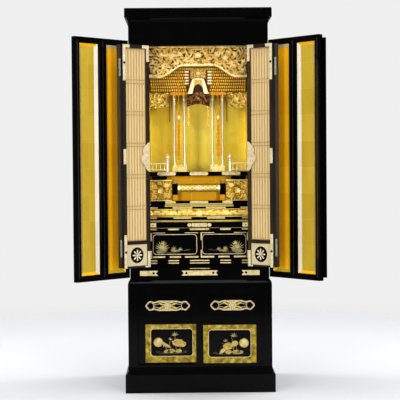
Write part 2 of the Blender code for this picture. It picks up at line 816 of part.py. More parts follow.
def make_palace_roof():
    """Architrave, tiers of brackets, and eaves with a ribbed roof behind the transom, in one carving."""
    y = BAY_FRONT + PALACE_SET
    back = y + PALACE_DEPTH
    low = (-ARCHITRAVE_HALF, y - ARCHITRAVE_OUT, ARCHITRAVE_Z)
    body = block("palace_roof", low, (ARCHITRAVE_HALF, back, ARCHITRAVE_Z + ARCHITRAVE_H), "carved_gilt")
    z = ARCHITRAVE_Z + ARCHITRAVE_H
    tiers = []
    for teeth, end, out in zip(TIER_TEETH, TIER_ENDS, TIER_OUTS):
        plan = toothed(EAVES_HALF - end, y - out, back - LAP, teeth, TOOTH_DEPTH)
        rings = [[(px, py, level) for px, py in plan] for level in (z - LAP, z + TIER_H)]
        tiers.append(lofted(f"tier_{len(tiers) + 1}", rings, "carved_gilt"))
        z += TIER_H
        back -= LAP
    combined(body, tiers, "UNION")
    front = y - EAVES_OUT
    top = EAVES_Z + EAVES_H
    low = (-EAVES_HALF, front, EAVES_Z - LAP)
    eaves = block("eaves", low, (EAVES_HALF, back - LAP, top), "carved_gilt")
    taper = 0.72
    foot = []
    ridge = []
    roof_half = EAVES_HALF - ROOF_INSET
    for index in range(2 * ROOF_RIBS + 1):
        x = (index / ROOF_RIBS - 1) * roof_half
        sink = ROOF_RIB_DEPTH if index % 2 else 0.0
        foot.append((x, front + ROOF_INSET + sink, top - LAP))
        ridge.append((x * taper, y - RIDGE_OUT + sink, PALACE_TOP))
    rear = back - 2 * LAP
    for x in (roof_half, -roof_half):
        foot.append((x, rear, top - LAP))
        ridge.append((x * taper, rear, PALACE_TOP))
    roof = lofted("roof", [foot, ridge], "carved_gilt")
    combined(body, [eaves, roof], "UNION")


def make_palace_gable():
    """Carved board in front of the bracket tiers, under an undulating gable arch."""
    front = BAY_FRONT + PALACE_SET - GABLE_OUT
    top = EAVES_Z - GABLE_DROP
    low = top - GABLE_H

    def crest(u):
        """Height of the arch: level in the middle, then falling like a bell."""
        out = abs(2 * u - 1)
        return top - GABLE_RISE * smooth(*GABLE_SLOPE, out)

    def place(u, v):
        x = (2 * u - 1) * GABLE_HALF
        foot = low + GABLE_FOOT_RISE * math.sin(math.pi * u)
        return x, foot + (crest(u) - foot) * v

    def height(u, v):
        rim = GABLE_RIM * smooth(0.72, 0.80, v)
        return rim + arabesque(u, v, 1.0, GABLE_RELIEF) * (1.0 - smooth(0.60, 0.72, v))

    carved_board("palace_gable", 18, 10, place, height, front, GABLE_T, "dark_gilt")


def make_side_bands():
    """Carved bands between the palace and the side linings."""
    front = BAY_FRONT + PALACE_SET + BAND_BEHIND
    near = ARCHITRAVE_HALF + GAP
    far = BAY_HALF - GAP
    top = ARCHITRAVE_Z + ARCHITRAVE_H - LAP - GAP
    for side, word in ((-1, "left"), (1, "right")):

        def place(u, v):
            lobe = BAND_LOBE * abs(math.sin(3 * math.pi * u))
            return side * (near + (far - near) * u), top - (BAND_H - lobe) * (1 - v)

        carved_board(
            f"side_band_{word}",
            12,
            5,
            place,
            lambda u, v: arabesque(u, v, 1.5, BAND_RELIEF),
            front,
            BAND_T,
            "carved_gilt",
        )


def make_transom():
    """Carved transom: an arch of scrolls across the head of the bay."""
    half = BAY_HALF - GAP
    top = LINTEL_Z - GAP
    front = JAMB_FRONT + JAMB_T + TRANSOM_SET

    def lower_edge(x):
        shoulder = (TRANSOM_SHOULDER_H - TRANSOM_CENTRE_H) * smooth(*TRANSOM_SHOULDER_XS, abs(x))
        return top - TRANSOM_CENTRE_H - shoulder

    def place(u, v):
        x = (2 * u - 1) * half
        low = lower_edge(x)
        return x, low + (top - low) * v

    def height(u, v):
        x, z = place(u, v)
        drop = top - z
        swirl = math.sin(math.tau * x / SWIRL_W + 2.4 * math.sin(math.tau * drop / SWIRL_H))
        leaf = math.cos(math.tau * drop / LEAF_H + 1.6 * math.sin(math.tau * x / LEAF_W))
        frame = smooth(0.0, 0.08, v) * smooth(0.0, 0.10, 1 - v)
        return TRANSOM_GROUND + frame * (TRANSOM_RELIEF + SWIRL_RELIEF * swirl + LEAF_RELIEF * leaf)

    carved_board("transom", 46, 7, place, height, front, TRANSOM_T, "carved_gilt")


def make_railings():
    """A post with an onion finial and two rails, at each side of the altar floor."""
    y = BAY_FRONT + RAIL_SET
    low = ALTAR_Z + GAP
    far = BAY_HALF - GAP
    onion = [(1.0, 0.0), (1.0, 0.60), (1.35, 0.64), (0.70, 0.68), (1.30, 0.79), (1.15, 0.88)]
    onion += [(0.35, 0.96), (0.10, 1.0)]
    for side, word in ((-1, "left"), (1, "right")):
        shape = [(radius * RAIL_POST_R, low + share * RAIL_POST_H) for radius, share in onion]
        post = turned(f"railing_{word}", shape, 8, (side * RAIL_POST_X, y), "carved_gilt")
        bars = []
        xs = sorted((side * RAIL_POST_X, side * far))
        foot = low + RAIL_BAR_D
        head = low + RAIL_H - RAIL_TOP_BAR_H
        deep = RAIL_BAR_D / 2
        for z, tall in ((foot, RAIL_LOW_BAR_H), (head, RAIL_TOP_BAR_H)):
            bars.append(block("bar", (xs[0], y - deep, z), (xs[1], y + deep, z + tall), "carved_gilt"))
        pitch = (far - RAIL_POST_X) / (BALUSTERS + 0.4)
        deep = BALUSTER_W / 2
        for number in range(BALUSTERS):
            x = side * (RAIL_POST_X + pitch * (number + 0.7))
            corner = (x - deep, y - deep, foot + LAP)
            bars.append(block("baluster", corner, (x + deep, y + deep, head + LAP), "carved_gilt"))
        combined(post, bars, "UNION")


def make_lamps():
    """Two slender turned lamps on rods under the eaves."""
    y = BAY_FRONT + LAMP_SET
    top = EAVES_Z - LAP - GAP
    foot = top - LAMP_DROP
    shape = [(0.15, 0.0), (0.55, 0.04), (0.35, 0.08), (0.70, 0.14), (0.45, 0.20), (0.50, 0.74), (1.0, 0.86)]
    shape += [(0.40, 0.93), (0.12, 1.0)]
    for side, word in ((-1, "left"), (1, "right")):
        profile = [(radius * LAMP_R, foot + rise * LAMP_H) for radius, rise in shape]
        profile.append((profile[-1][0], top))
        turned(f"lamp_{word}", profile, 8, (side * LAMP_X, y), "carved_gilt")


def placed(thing, parent, spot, degrees):
    """Sets a moving piece's origin and turn about Z, under its parent."""
    thing.parent = parent
    thing.location = spot
    thing.rotation_euler = (0.0, 0.0, math.radians(degrees))
    return thing


def leaf_plate(name, start, end, tall, faces, side):
    """One outer leaf, in its own frame: a frame with a sunk panel on both faces."""
    xs = sorted(-side * x for x in (start, start + LEAF_STILE_W, end - LEAF_STILE_W, end))
    zs = [0.0, LEAF_RAIL_H, tall - LEAF_RAIL_H, tall]
    outer, inner = faces

    def depth_of(i, k):
        if i == 1 and k == 1:
            return outer + LEAF_FACE_RECESS, inner - LEAF_RECESS
        return outer, inner

    return stepped_plate(name, xs, zs, depth_of, "lacquer")


def make_outer_doors():
    """Two folding leaves a side. The first turns at the cabinet's corner, the second on the first's edge."""
    axis_x = BODY_W / 2 + HINGE_OUT
    axis_y = BODY_FRONT - DOOR_GAP
    low = BODY_Z + DOOR_SILL_REVEAL
    tall = BODY_TOP - DOOR_HEAD_REVEAL - low
    leaf_w = (axis_x - MEETING_GAP / 2) / 2
    for side, word in ((-1, "left"), (1, "right")):
        first = leaf_plate(f"outer_{word}_a", LEAF_GAP, leaf_w - LEAF_GAP / 2, tall, (-LEAF_T, 0.0), side)
        placed(first, None, (side * axis_x, axis_y, low), side * OUTER_OPEN_DEGS[side])
        second = leaf_plate(f"outer_{word}_b", LEAF_GAP / 2, leaf_w, tall, (0.0, LEAF_T), side)
        if side > 0:
            strip_far = leaf_w + ASTRAGAL_W / 2
            xs = sorted((-side * (leaf_w - ASTRAGAL_W / 2), -side * strip_far))
            corner = (xs[0], -ASTRAGAL_T, LEAF_RAIL_H / 2)
            strip = block("astragal", corner, (xs[1], -GAP, tall - LEAF_RAIL_H / 2), "lacquer")
            tongue_x = sorted((-side * (leaf_w - ASTRAGAL_W / 2), -side * (leaf_w - LEAF_GAP)))
            corner = (tongue_x[0], -ASTRAGAL_T / 2, LEAF_RAIL_H)
            tongue = block("tongue", corner, (tongue_x[1], LEAF_T / 4, tall - LEAF_RAIL_H), "lacquer")
            combined(second, [strip, tongue], "UNION")
        placed(second, first, (-side * leaf_w, -LEAF_T, 0.0), 0.0)


def shoji_frame(name, start, end, tall, face, side):
    """One inner leaf's frame: a window for the lattice above a sunk panel with a roundel."""
    xs = sorted(-side * x for x in (start, start + SHOJI_STILE_W, end - SHOJI_STILE_W, end))
    panel_top = SHOJI_FOOT_H + SHOJI_PANEL_H
    zs = [0.0, SHOJI_FOOT_H, panel_top, panel_top + SHOJI_MID_RAIL_H, tall - SHOJI_RAIL_H, tall]

    def depth_of(i, k):
        if i == 1 and k == 3:
            return None
        if i == 1 and k == 1:
            return face + PANEL_RECESS, face + SHOJI_T - PANEL_RECESS
        return face, face + SHOJI_T

    frame = stepped_plate(name, xs, zs, depth_of, "lacquer")
    centre = (-side * (start + end) / 2, SHOJI_FOOT_H + SHOJI_PANEL_H / 2)
    sides = 16
    ring = []
    for step in range(sides):
        turn = math.tau * step / sides
        ring.append((centre[0] + ROUNDEL_D / 2 * math.cos(turn), centre[1] + ROUNDEL_D / 2 * math.sin(turn)))
    front = face + PANEL_RECESS - ROUNDEL_T
    roundel = along_y("roundel", ring, front, face + SHOJI_T - PANEL_RECESS + ROUNDEL_T, "lacquer")
    return combined(frame, [roundel], "UNION")


def shoji_lattice(name, start, end, tall, face, side):
    """The lattice set in a leaf's window: slats and bars standing on a thin backing."""
    left, right = sorted((-side * (start + SHOJI_STILE_W + GAP), -side * (end - SHOJI_STILE_W - GAP)))
    low = SHOJI_FOOT_H + SHOJI_PANEL_H + SHOJI_MID_RAIL_H + GAP
    high = tall - SHOJI_RAIL_H - GAP

    def lines(start_at, end_at, count, width):
        """Edges of evenly spaced strips, with one along each end."""
        pitch = (end_at - start_at - width) / (count + 1)
        edges = []
        for strip in range(count + 2):
            edges += [start_at + strip * pitch, start_at + strip * pitch + width]
        return edges

    xs = lines(left, right, SLATS, SLAT_W)
    zs = lines(low, high, BARS, BAR_H)
    front = face + (SHOJI_T - SLAT_DEPTH - GAUZE_T) / 2

    def depth_of(i, k):
        sunk = i % 2 and k % 2
        return front + (SLAT_DEPTH if sunk else 0.0), front + SLAT_DEPTH + GAUZE_T

    return stepped_plate(name, xs, zs, depth_of, "lattice")


def make_shoji():
    """Two folding lattice leaves a side, inside the outer doors."""
    axis_x = BODY_IN - LEAF_GAP
    axis_y = BODY_FRONT - LEAF_GAP
    low = SILL_TOP + SHOJI_SILL_GAP
    tall = LINTEL_Z - SHOJI_HEAD_GAP - low
    leaf_w = (axis_x - MEETING_GAP / 2) / 2
    setback = SHOJI_SETBACK + LEAF_GAP
    for side, word in ((-1, "left"), (1, "right")):
        first_end = leaf_w - LEAF_GAP / 2
        first = shoji_frame(f"shoji_{word}_a", GAP, first_end, tall, setback, side)
        placed(first, None, (side * axis_x, axis_y, low), side * SHOJI_OPEN_DEGS[side])
        lattice = shoji_lattice(f"lattice_{word}_a", GAP, first_end, tall, setback, side)
        placed(lattice, first, (0.0, 0.0, 0.0), 0.0)
        second = shoji_frame(f"shoji_{word}_b", LEAF_GAP / 2, leaf_w, tall, -SHOJI_T, side)
        placed(second, first, (-side * leaf_w, setback + SHOJI_T, 0.0), -side * SHOJI_FOLD_DEG)
        lattice = shoji_lattice(f"lattice_{word}_b", LEAF_GAP / 2, leaf_w, tall, -SHOJI_T, side)
        placed(lattice, second, (0.0, 0.0, 0.0), 0.0)


def drawer(name, spans, wall, depth):
    """A drawer open at the top, its front at y 0: a front board and a tray. spans are the x and z limits."""
    (left, right), (low, high) = spans
    xs = [left, left + DRAWER_BORDER_W, right - DRAWER_BORDER_W, right]
    zs = [low, low + DRAWER_BORDER_W, high - DRAWER_BORDER_W, high]

    def depth_of(i, k):
        return (DRAWER_FACE_RECESS if i == 1 and k == 1 else 0.0), DRAWER_FRONT_T

    face = stepped_plate(name, xs, zs, depth_of, "lacquer")
    tray_left = left + TRAY_SIDE_GAP
    tray_right = right - TRAY_SIDE_GAP
    tray_top = high - TRAY_HEAD_GAP
    outer = (tray_left, tray_right, DRAWER_FRONT_T - LAP, depth)
    inner = (tray_left + wall, tray_right - wall, DRAWER_FRONT_T + LAP, depth - wall)
    base = low + TRAY_FOOT_GAP
    rings = [rectangle(*outer, base), rectangle(*outer, tray_top), rectangle(*inner, tray_top)]
    rings.append(rectangle(*inner, base + wall))
    tray = lofted("tray", rings, "lacquer")
    return combined(face, [tray], "UNION")


def make_drawers():
    """Two lotus drawers in the case and two wider ones in the base."""
    base_depth = BACK_INNER - BASE_FRONT - BASE_DRAWER_BACK_GAP
    for side, word in ((-1, "left"), (1, "right")):
        inner = CASE_DIVIDER / 2 + DRAWER_CLEARANCE / 2
        outer = BAY_HALF - GAP - CASE_WALL - DRAWER_CLEARANCE / 2
        z_span = (SILL_TOP + CASE_FOOT_H + DRAWER_CLEARANCE, CASE_TOP - CASE_TOP_H - DRAWER_CLEARANCE)
        spans = (sorted((side * inner, side * outer)), z_span)
        made = drawer(f"lotus_drawer_{word}", spans, LOTUS_DRAWER_WALL, LOTUS_DRAWER_D)
        placed(made, None, (0.0, BAY_FRONT - LOTUS_DRAWER_PROUD, 0.0), 0.0)
        inner = MULLION_W / 2 + DRAWER_CLEARANCE
        outer = BASE_OPEN - DRAWER_CLEARANCE
        z_span = (DRAWER_Z + DRAWER_CLEARANCE, DRAWER_Z + BASE_DRAWER_H - DRAWER_CLEARANCE)
        spans = (sorted((side * inner, side * outer)), z_span)
        made = drawer(f"base_drawer_{word}", spans, BASE_DRAWER_WALL, base_depth)
        placed(made, None, (0.0, BASE_FRONT - BASE_DRAWER_PROUD, 0.0), 0.0)


def make_sliding_doors():
    """Two sliding doors in the cupboard, each with a bordered panel."""
    width = BASE_OPEN + SLIDE_OVERLAP / 2 - DRAWER_CLEARANCE
    low = CUPBOARD_Z - TRACK_DEPTH + 2 * GAP
    high = CUPBOARD_TOP + TRACK_DEPTH - 2 * GAP
    for side, track, word in ((-1, 1, "left"), (1, 0, "right")):
        far = side * (BASE_OPEN - DRAWER_CLEARANCE)
        near = far - side * width
        left, right = sorted((far, near))
        start = left + SLIDE_STILE_W
        end = right - SLIDE_STILE_W
        xs = [left, start, start + SLIDE_BORDER_W, end - SLIDE_BORDER_W, end, right]
        foot = CUPBOARD_Z + SLIDE_RAIL_H
        head = CUPBOARD_TOP - SLIDE_RAIL_H
        zs = [low, foot, foot + SLIDE_BORDER_W, head - SLIDE_BORDER_W, head, high]

        def depth_of(i, k):
            if i == 2 and k == 2:
                return SLIDE_PANEL_RECESS, SLIDE_DOOR_T
            if 1 <= i <= 3 and 1 <= k <= 3:
                return 0.0, SLIDE_DOOR_T
            return SLIDE_BORDER_PROUD, SLIDE_DOOR_T

        made = stepped_plate(f"sliding_door_{word}", xs, zs, depth_of, "lacquer")
        placed(made, None, (0.0, track_front(track), 0.0), 0.0)


clear_scene()
make_plinth()
make_base()
make_base_front()
make_base_top()
make_body()
make_crown()
make_bay()
make_case()
make_steps()
make_roll_rail()
make_side_panels()
make_columns()
make_palace_roof()
make_palace_gable()
make_side_bands()
make_transom()
make_railings()
make_lamps()
make_outer_doors()
make_shoji()
make_drawers()
make_sliding_doors()
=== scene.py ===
"""Looks of the Buddhist home altar: black lacquer, gold leaf, gilt carving, fittings and lotus pictures.

Metres, +Z up, the front faces -Y. Places come from the frame's nodes and joints.
A door leaf's own frame has its axis at x 0, x running along the leaf, and y square to it.
"""

import json
import math
import random

import bmesh
import bpy
import numpy as np
from mathutils import Matrix, Vector


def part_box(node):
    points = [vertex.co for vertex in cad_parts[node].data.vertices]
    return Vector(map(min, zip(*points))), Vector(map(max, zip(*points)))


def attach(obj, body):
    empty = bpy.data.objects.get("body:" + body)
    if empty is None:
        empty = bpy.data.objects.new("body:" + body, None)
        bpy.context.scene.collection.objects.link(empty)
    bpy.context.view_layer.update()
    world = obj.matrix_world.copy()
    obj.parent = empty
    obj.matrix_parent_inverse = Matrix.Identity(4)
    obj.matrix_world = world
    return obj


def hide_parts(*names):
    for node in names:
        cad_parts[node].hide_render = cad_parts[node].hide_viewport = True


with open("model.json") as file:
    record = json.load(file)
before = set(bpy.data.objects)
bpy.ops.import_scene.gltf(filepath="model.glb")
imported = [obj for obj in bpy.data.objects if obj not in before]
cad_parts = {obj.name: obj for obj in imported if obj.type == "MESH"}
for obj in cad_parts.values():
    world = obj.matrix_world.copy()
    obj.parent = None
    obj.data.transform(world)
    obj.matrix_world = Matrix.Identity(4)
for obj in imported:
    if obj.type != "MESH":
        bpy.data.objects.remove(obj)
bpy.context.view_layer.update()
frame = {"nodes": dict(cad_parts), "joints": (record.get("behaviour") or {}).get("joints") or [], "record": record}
NODES = frame["nodes"]
JOINTS = {joint["name"]: joint for joint in frame["joints"]}

SIDES = ((-1, "left"), (1, "right"))

# Camera and stage
EYE = (-0.057, -5.627, 0.980)
LENS = 113.2
SENSOR_W = 36.0
CLIP_END = 60.0
CAMERA_YAW = -0.650
CAMERA_ROLL = 0.44
CAMERA_TILT = 1.612
FLOOR_RADIUS = 3.6
FLOOR_FADE = 1.5
FLOOR_SIDES = 96
BACKDROP_RADIUS = 30.0
BACKDROP_TONE = 0.868
SKY_COLOUR = (0.95, 0.96, 1.0, 1.0)
SKY_POWER = 0.22

# Thin trim, how far a face stands clear of the one it covers, and how deep a plate's back is sunk
PLATE_T = 0.0012
PLATE_BEVEL = 0.0004
SILL_PLATE_T = 0.0006
PROUD = 0.0003
SUNK = PROUD / 3

# Leaves of the doors, with their frames as in the solids
STILE_W = 0.024
RAIL_H = 0.026
LEAF_T = 0.022
LEAF_RECESS = 0.007
LEAF_GAP = 0.0006
PANEL_SLOPE = 0.012
FOLD_SLOPE = 0.0172
# Beads that carry a painted highlight line on the leaves' frames
EDGE_BEAD_R = 0.0022
EDGE_BEAD_RISE = 0.0004
EDGE_BEAD_PAST_PANEL = 0.012
SHOJI_T = 0.018
SHOJI_SETBACK = 0.0046
SHOJI_STILE_W = 0.016
SHOJI_RAIL_H = 0.0145
SHOJI_FOOT_H = 0.008
SHOJI_PANEL_H = 0.091
SHOJI_MID_RAIL_H = 0.015
PANEL_RECESS = 0.004
HINGE_GAP = 0.0003

# Lattice of the inner doors
GAUZE_HALF_T = 0.0006
LATTICE_HALF_T = 0.003
STRIPS = 8
STRIP_W = 0.0042
BAR_PAIRS = 5
BAR_H = 0.0036
BAR_PAIR_GAP = 0.0145
BAR_HEAD_ROOM = 0.014
BAR_SETBACK = 0.0004

# Edge of a sheet of gold leaf
LEAF_SHEET = 0.109

# Degrees up to which an edge is shaded smooth
CARVED_SMOOTH = 60
ROLLED_SMOOTH = 40
TURNED_SMOOTH = 35


# Materials

class Looks:
    """A Principled material in the making: its tree, its shader and its object coordinates."""

    def __init__(self, name, **values):
        self.made = bpy.data.materials.new(name)
        self.made.use_nodes = True
        self.tree = self.made.node_tree
        self.shader = self.tree.nodes["Principled BSDF"]
        for key, value in values.items():
            self.shader.inputs[key.replace("_", " ")].default_value = value
        self.where = self.node("ShaderNodeTexCoord").outputs["Object"]

    def feed(self, socket, value):
        """Sets a socket to a value, or links it to another socket."""
        if isinstance(value, bpy.types.NodeSocket):
            self.tree.links.new(value, socket)
        else:
            socket.default_value = value

    def node(self, kind, inputs=None, **settings):
        """A node with its settings and its inputs by name."""
        made = self.tree.nodes.new(kind)
        for key, value in settings.items():
            setattr(made, key, value)
        for key, value in (inputs or {}).items():
            self.feed(made.inputs[key], value)
        return made

    def noise(self, scale, detail=3.0, stretch=(1.0, 1.0, 1.0)):
        """Noise value at a scale, with the coordinates stretched first."""
        mapped = self.node("ShaderNodeMapping", {"Vector": self.where, "Scale": stretch})
        inputs = {"Vector": mapped.outputs[0], "Scale": scale, "Detail": detail}
        return self.node("ShaderNodeTexNoise", inputs).outputs[0]

    def spread(self, value, low, high):
        """The value's middle half spread between low and high."""
        inputs = {"Value": value, "From Min": 0.25, "From Max": 0.75, "To Min": low, "To Max": high}
        return self.node("ShaderNodeMapRange", inputs).outputs[0]

    def ramp(self, value, stops):
        """Colour ramp of (place, colour) stops."""
        made = self.node("ShaderNodeValToRGB", {"Fac": value})
        slots = made.color_ramp.elements
        while len(slots) < len(stops):
            slots.new(0.5)
        for element, (place, colour) in zip(slots, stops):
            element.position = place
            element.color = (*colour, 1.0)
        return made.outputs[0]

    def mixed(self, share, one, two, blend="MIX"):
        """Colour mix of two colours or sockets."""
        made = self.node("ShaderNodeMix", data_type="RGBA", blend_type=blend)
        for number, value in ((0, share), (6, one), (7, two)):
            self.feed(made.inputs[number], value)
        return made.outputs[2]

    def maths(self, operation, *values):
        """One Math node."""
        made = self.node("ShaderNodeMath", operation=operation)
        for socket, value in zip(made.inputs, values):
            self.feed(socket, value)
        return made.outputs[0]

    def finish(self, colour, roughness, height, strength, distance):
        """The material, with its colour, its roughness as (value, low, high) and one bump."""
        self.feed(self.shader.inputs["Base Color"], colour)
        if roughness:
            self.feed(self.shader.inputs["Roughness"], self.spread(*roughness))
        inputs = {"Height": height, "Strength": strength, "Distance": distance}
        self.feed(self.shader.inputs["Normal"], self.node("ShaderNodeBump", inputs).outputs[0])
        return self.made


def make_lacquer(name, dark, light, gloss):
    """Polished black lacquer: faint ripple, finest dust, and a slightly uneven gloss."""
    looks = Looks(name, Specular_IOR_Level=gloss)
    colour = looks.ramp(looks.noise(7.0), ((0.3, dark), (0.7, light)))
    dust = looks.noise(900.0, 1.0)
    specks = looks.ramp(dust, ((0.70, (0.0, 0.0, 0.0)), (0.82, (0.02, 0.02, 0.022))))
    colour = looks.mixed(0.25, colour, specks, "ADD")
    ripple = looks.maths("ADD", looks.noise(55.0, 2.0), looks.maths("MULTIPLY", dust, 0.15))
    return looks.finish(colour, (looks.noise(26.0), 0.07, 0.15), ripple, 0.05, 0.0006)


def make_gold_leaf(name, dark, light, metallic=0.6, gloss=0.3, across=None):
    """Gold leaf laid in squares: each square its own tone, bright laps, fine wrinkles and small breaks. Tones
    given across paint a reflection, with painted shade, in bands along x.
    """
    looks = Looks(name, Metallic=metallic, Specular_IOR_Level=gloss)
    parts = looks.node("ShaderNodeSeparateXYZ", {"Vector": looks.where}).outputs
    drift = looks.maths("MULTIPLY", looks.noise(14.0, 1.0), 0.006)
    cells = []
    laps = []
    for socket, shift in ((parts[0], 0.031), (parts[2], 0.012)):
        along = looks.maths("ADD", looks.maths("ADD", socket, shift), drift)
        along = looks.maths("DIVIDE", along, LEAF_SHEET)
        cells.append(looks.maths("FLOOR", along))
        edge = looks.maths("ABSOLUTE", looks.maths("SUBTRACT", looks.maths("FRACT", along), 0.5))
        laps.append(looks.maths("GREATER_THAN", edge, 0.488))
    square = looks.node("ShaderNodeCombineXYZ", {"X": cells[0], "Y": cells[1]}).outputs[0]
    tone = looks.node("ShaderNodeTexWhiteNoise", {"Vector": square}, noise_dimensions="2D").outputs[0]
    base = looks.ramp(tone, ((0.0, dark), (1.0, light)))
    cloud = looks.noise(9.0, 4.0, (1.0, 1.0, 0.5))
    cloud = looks.ramp(cloud, ((0.30, (0.84, 0.78, 0.62)), (0.72, (1.0, 1.0, 1.0))))
    colour = looks.mixed(0.6, base, cloud, "MULTIPLY")
    lap = looks.maths("MULTIPLY", looks.maths("MAXIMUM", *laps), 0.16)
    colour = looks.mixed(lap, colour, (0.97, 0.74, 0.20, 1.0))
    breaks = looks.ramp(looks.noise(210.0, 2.0), ((0.70, (0.0, 0.0, 0.0)), (0.78, (1.0, 1.0, 1.0))))
    colour = looks.mixed(looks.maths("MULTIPLY", breaks, 0.22), colour, (0.36, 0.14, 0.03, 1.0))
    # Painted reflection and painted shade: tones in bands along x, laid over the leaf
    if across:
        place = looks.maths("ADD", looks.maths("MULTIPLY", parts[0], 2.0), 0.5)
        colour = looks.mixed(1.0, colour, looks.ramp(place, across), "MULTIPLY")
    wrinkle = looks.maths("ADD", looks.noise(130.0, 4.0, (1.0, 1.0, 0.6)), lap)
    return looks.finish(colour, (looks.noise(40.0), 0.32, 0.44), wrinkle, 0.22, 0.0008)


def make_carved(name, stops, metallic, roughness, gloss=0.3):
    """Gilt carving, coloured by height: dark in the hollows, partly the dark ground and partly painted shade, and
    pale on the ridges as painted highlight.
    """
    looks = Looks(name, Metallic=metallic, Specular_IOR_Level=gloss)
    depth = looks.node("ShaderNodeAttribute", attribute_name="carve").outputs["Fac"]
    patch = looks.maths("MULTIPLY", looks.maths("SUBTRACT", looks.noise(90.0), 0.5), 0.30)
    colour = looks.ramp(looks.maths("ADD", depth, patch), stops)
    tone = looks.ramp(looks.noise(11.0, 2.0), ((0.3, (0.80, 0.68, 0.50)), (0.7, (1.0, 1.0, 1.0))))
    colour = looks.mixed(0.5, colour, tone, "MULTIPLY")
    sheen = (looks.noise(60.0), roughness, roughness + 0.16)
    return looks.finish(colour, sheen, looks.noise(260.0, 4.0), 0.30, 0.0009)


def make_metal(name, stops):
    """Gilt metal plate, with chased grain and darker touches."""
    looks = Looks(name, Metallic=0.55)
    patch = looks.noise(120.0, 4.0)
    dots = looks.node("ShaderNodeTexVoronoi", {"Vector": looks.where, "Scale": 420.0}).outputs[0]
    grain = looks.maths("ADD", dots, patch)
    return looks.finish(looks.ramp(patch, stops), (looks.noise(35.0), 0.30, 0.46), grain, 0.25, 0.0006)


def make_gauze():
    """Cream silk gauze behind the lattice, woven fine."""
    looks = Looks("silk_gauze", Roughness=0.62, Sheen_Weight=0.25)
    cloud = looks.noise(8.0, 3.0, (1.0, 1.0, 0.35))
    colour = looks.ramp(cloud, ((0.30, (0.50, 0.358, 0.141)), (0.72, (0.57, 0.427, 0.185))))
    weave = []
    for axis in ("X", "Z"):
        inputs = {"Vector": looks.where, "Scale": 260.0}
        weave.append(looks.node("ShaderNodeTexWave", inputs, bands_direction=axis).outputs["Fac"])
    thread = looks.maths("MAXIMUM", *weave)
    colour = looks.mixed(looks.maths("MULTIPLY", thread, 0.18), colour, (0.76, 0.60, 0.31, 1.0))
    return looks.finish(colour, None, thread, 0.25, 0.0004)


def make_slat_gold():
    """Gilt lattice strip, warmer and browner than the gauze, with a fine grain along it."""
    looks = Looks("slat_gold", Metallic=0.35)
    grain = looks.noise(70.0, 4.0, (6.0, 6.0, 0.35))
    colour = looks.ramp(grain, ((0.28, (0.30, 0.18, 0.065)), (0.70, (0.44, 0.29, 0.115))))
    return looks.finish(colour, (grain, 0.36, 0.52), grain, 0.25, 0.0005)


def make_paint(name, dark, light):
    """Sprinkled gold and silver picture on lacquer."""
    looks = Looks(name, Metallic=0.35, Specular_IOR_Level=0.15)
    grain = looks.noise(520.0)
    shade = looks.maths("MULTIPLY", looks.noise(60.0, 2.0), 0.55)
    tone = looks.maths("ADD", looks.maths("MULTIPLY", grain, 0.45), shade)
    colour = looks.ramp(tone, ((0.36, dark), (0.60, light)))
    return looks.finish(colour, (grain, 0.38, 0.58), grain, 0.35, 0.0004)


def make_aged_gold():
    """Older gold leaf with worn, mottled patches."""
    looks = Looks("aged_gold", Metallic=0.55, Specular_IOR_Level=0.15)
    patch = looks.noise(55.0, 6.0)
    stops = ((0.32, (0.100, 0.059, 0.005)), (0.50, (0.215, 0.155, 0.014)), (0.68, (0.40, 0.305, 0.040)))
    return looks.finish(looks.ramp(patch, stops), (patch, 0.34, 0.52), looks.noise(240.0), 0.3, 0.0006)


# Tones across the back panel, a painted reflection with bands of painted shade; and tones of carving and metal
# from the hollows up, the carvings' dark hollows partly painted shade and their palest tops painted highlight
BACK_REFLECTION_TONES = (
    (0.08, (0.84, 0.82, 0.78)),
    (0.24, (0.96, 0.88, 0.58)),
    (0.40, (0.80, 0.74, 0.72)),
    (0.50, (0.64, 0.59, 0.60)),
    (0.58, (0.80, 0.80, 0.92)),
    (0.74, (1.00, 1.00, 1.00)),
    (0.92, (1.00, 1.00, 1.00)),
)
GILT_STOPS = (
    (0.05, (0.020, 0.008, 0.003)),
    (0.18, (0.36, 0.19, 0.026)),
    (0.40, (0.82, 0.60, 0.140)),
    (0.65, (0.98, 0.88, 0.58)),
)
# Brackets: more orange and darker than the other gilt, as painted shade
ROW_STOPS = (
    (0.10, (0.14, 0.042, 0.004)),
    (0.35, (0.46, 0.18, 0.010)),
    (0.62, (0.68, 0.34, 0.020)),
    (0.90, (0.86, 0.56, 0.080)),
)
LAMP_STOPS = (
    (0.20, (0.34, 0.08, 0.008)),
    (0.50, (0.70, 0.24, 0.012)),
    (0.72, (0.84, 0.42, 0.040)),
    (0.94, (0.97, 0.84, 0.48)),
)
BROWN_STOPS = (
    (0.08, (0.030, 0.012, 0.005)),
    (0.28, (0.16, 0.055, 0.012)),
    (0.50, (0.46, 0.22, 0.060)),
    (0.68, (0.66, 0.46, 0.13)),
    (0.90, (0.88, 0.76, 0.46)),
)
SHADE_STOPS = (
    (0.06, (0.050, 0.020, 0.004)),
    (0.23, (0.42, 0.24, 0.024)),
    (0.47, (0.80, 0.56, 0.084)),
    (0.76, (0.97, 0.82, 0.38)),
)
COLUMN_STOPS = (
    (0.20, (0.48, 0.30, 0.08)),
    (0.60, (0.74, 0.58, 0.27)),
    (0.85, (0.86, 0.76, 0.52)),
)
METAL_STOPS = ((0.30, (0.31, 0.215, 0.076)), (0.46, (0.47, 0.365, 0.165)), (0.70, (0.58, 0.475, 0.26)))
PALE_STOPS = ((0.30, (0.62, 0.50, 0.30)), (0.46, (0.76, 0.64, 0.40)), (0.70, (0.86, 0.76, 0.52)))
GREY_STOPS = ((0.30, (0.20, 0.22, 0.18)), (0.46, (0.34, 0.37, 0.31)), (0.70, (0.46, 0.50, 0.43)))
PLAQUE_STOPS = ((0.30, (0.30, 0.22, 0.12)), (0.46, (0.42, 0.34, 0.21)), (0.70, (0.54, 0.46, 0.31)))

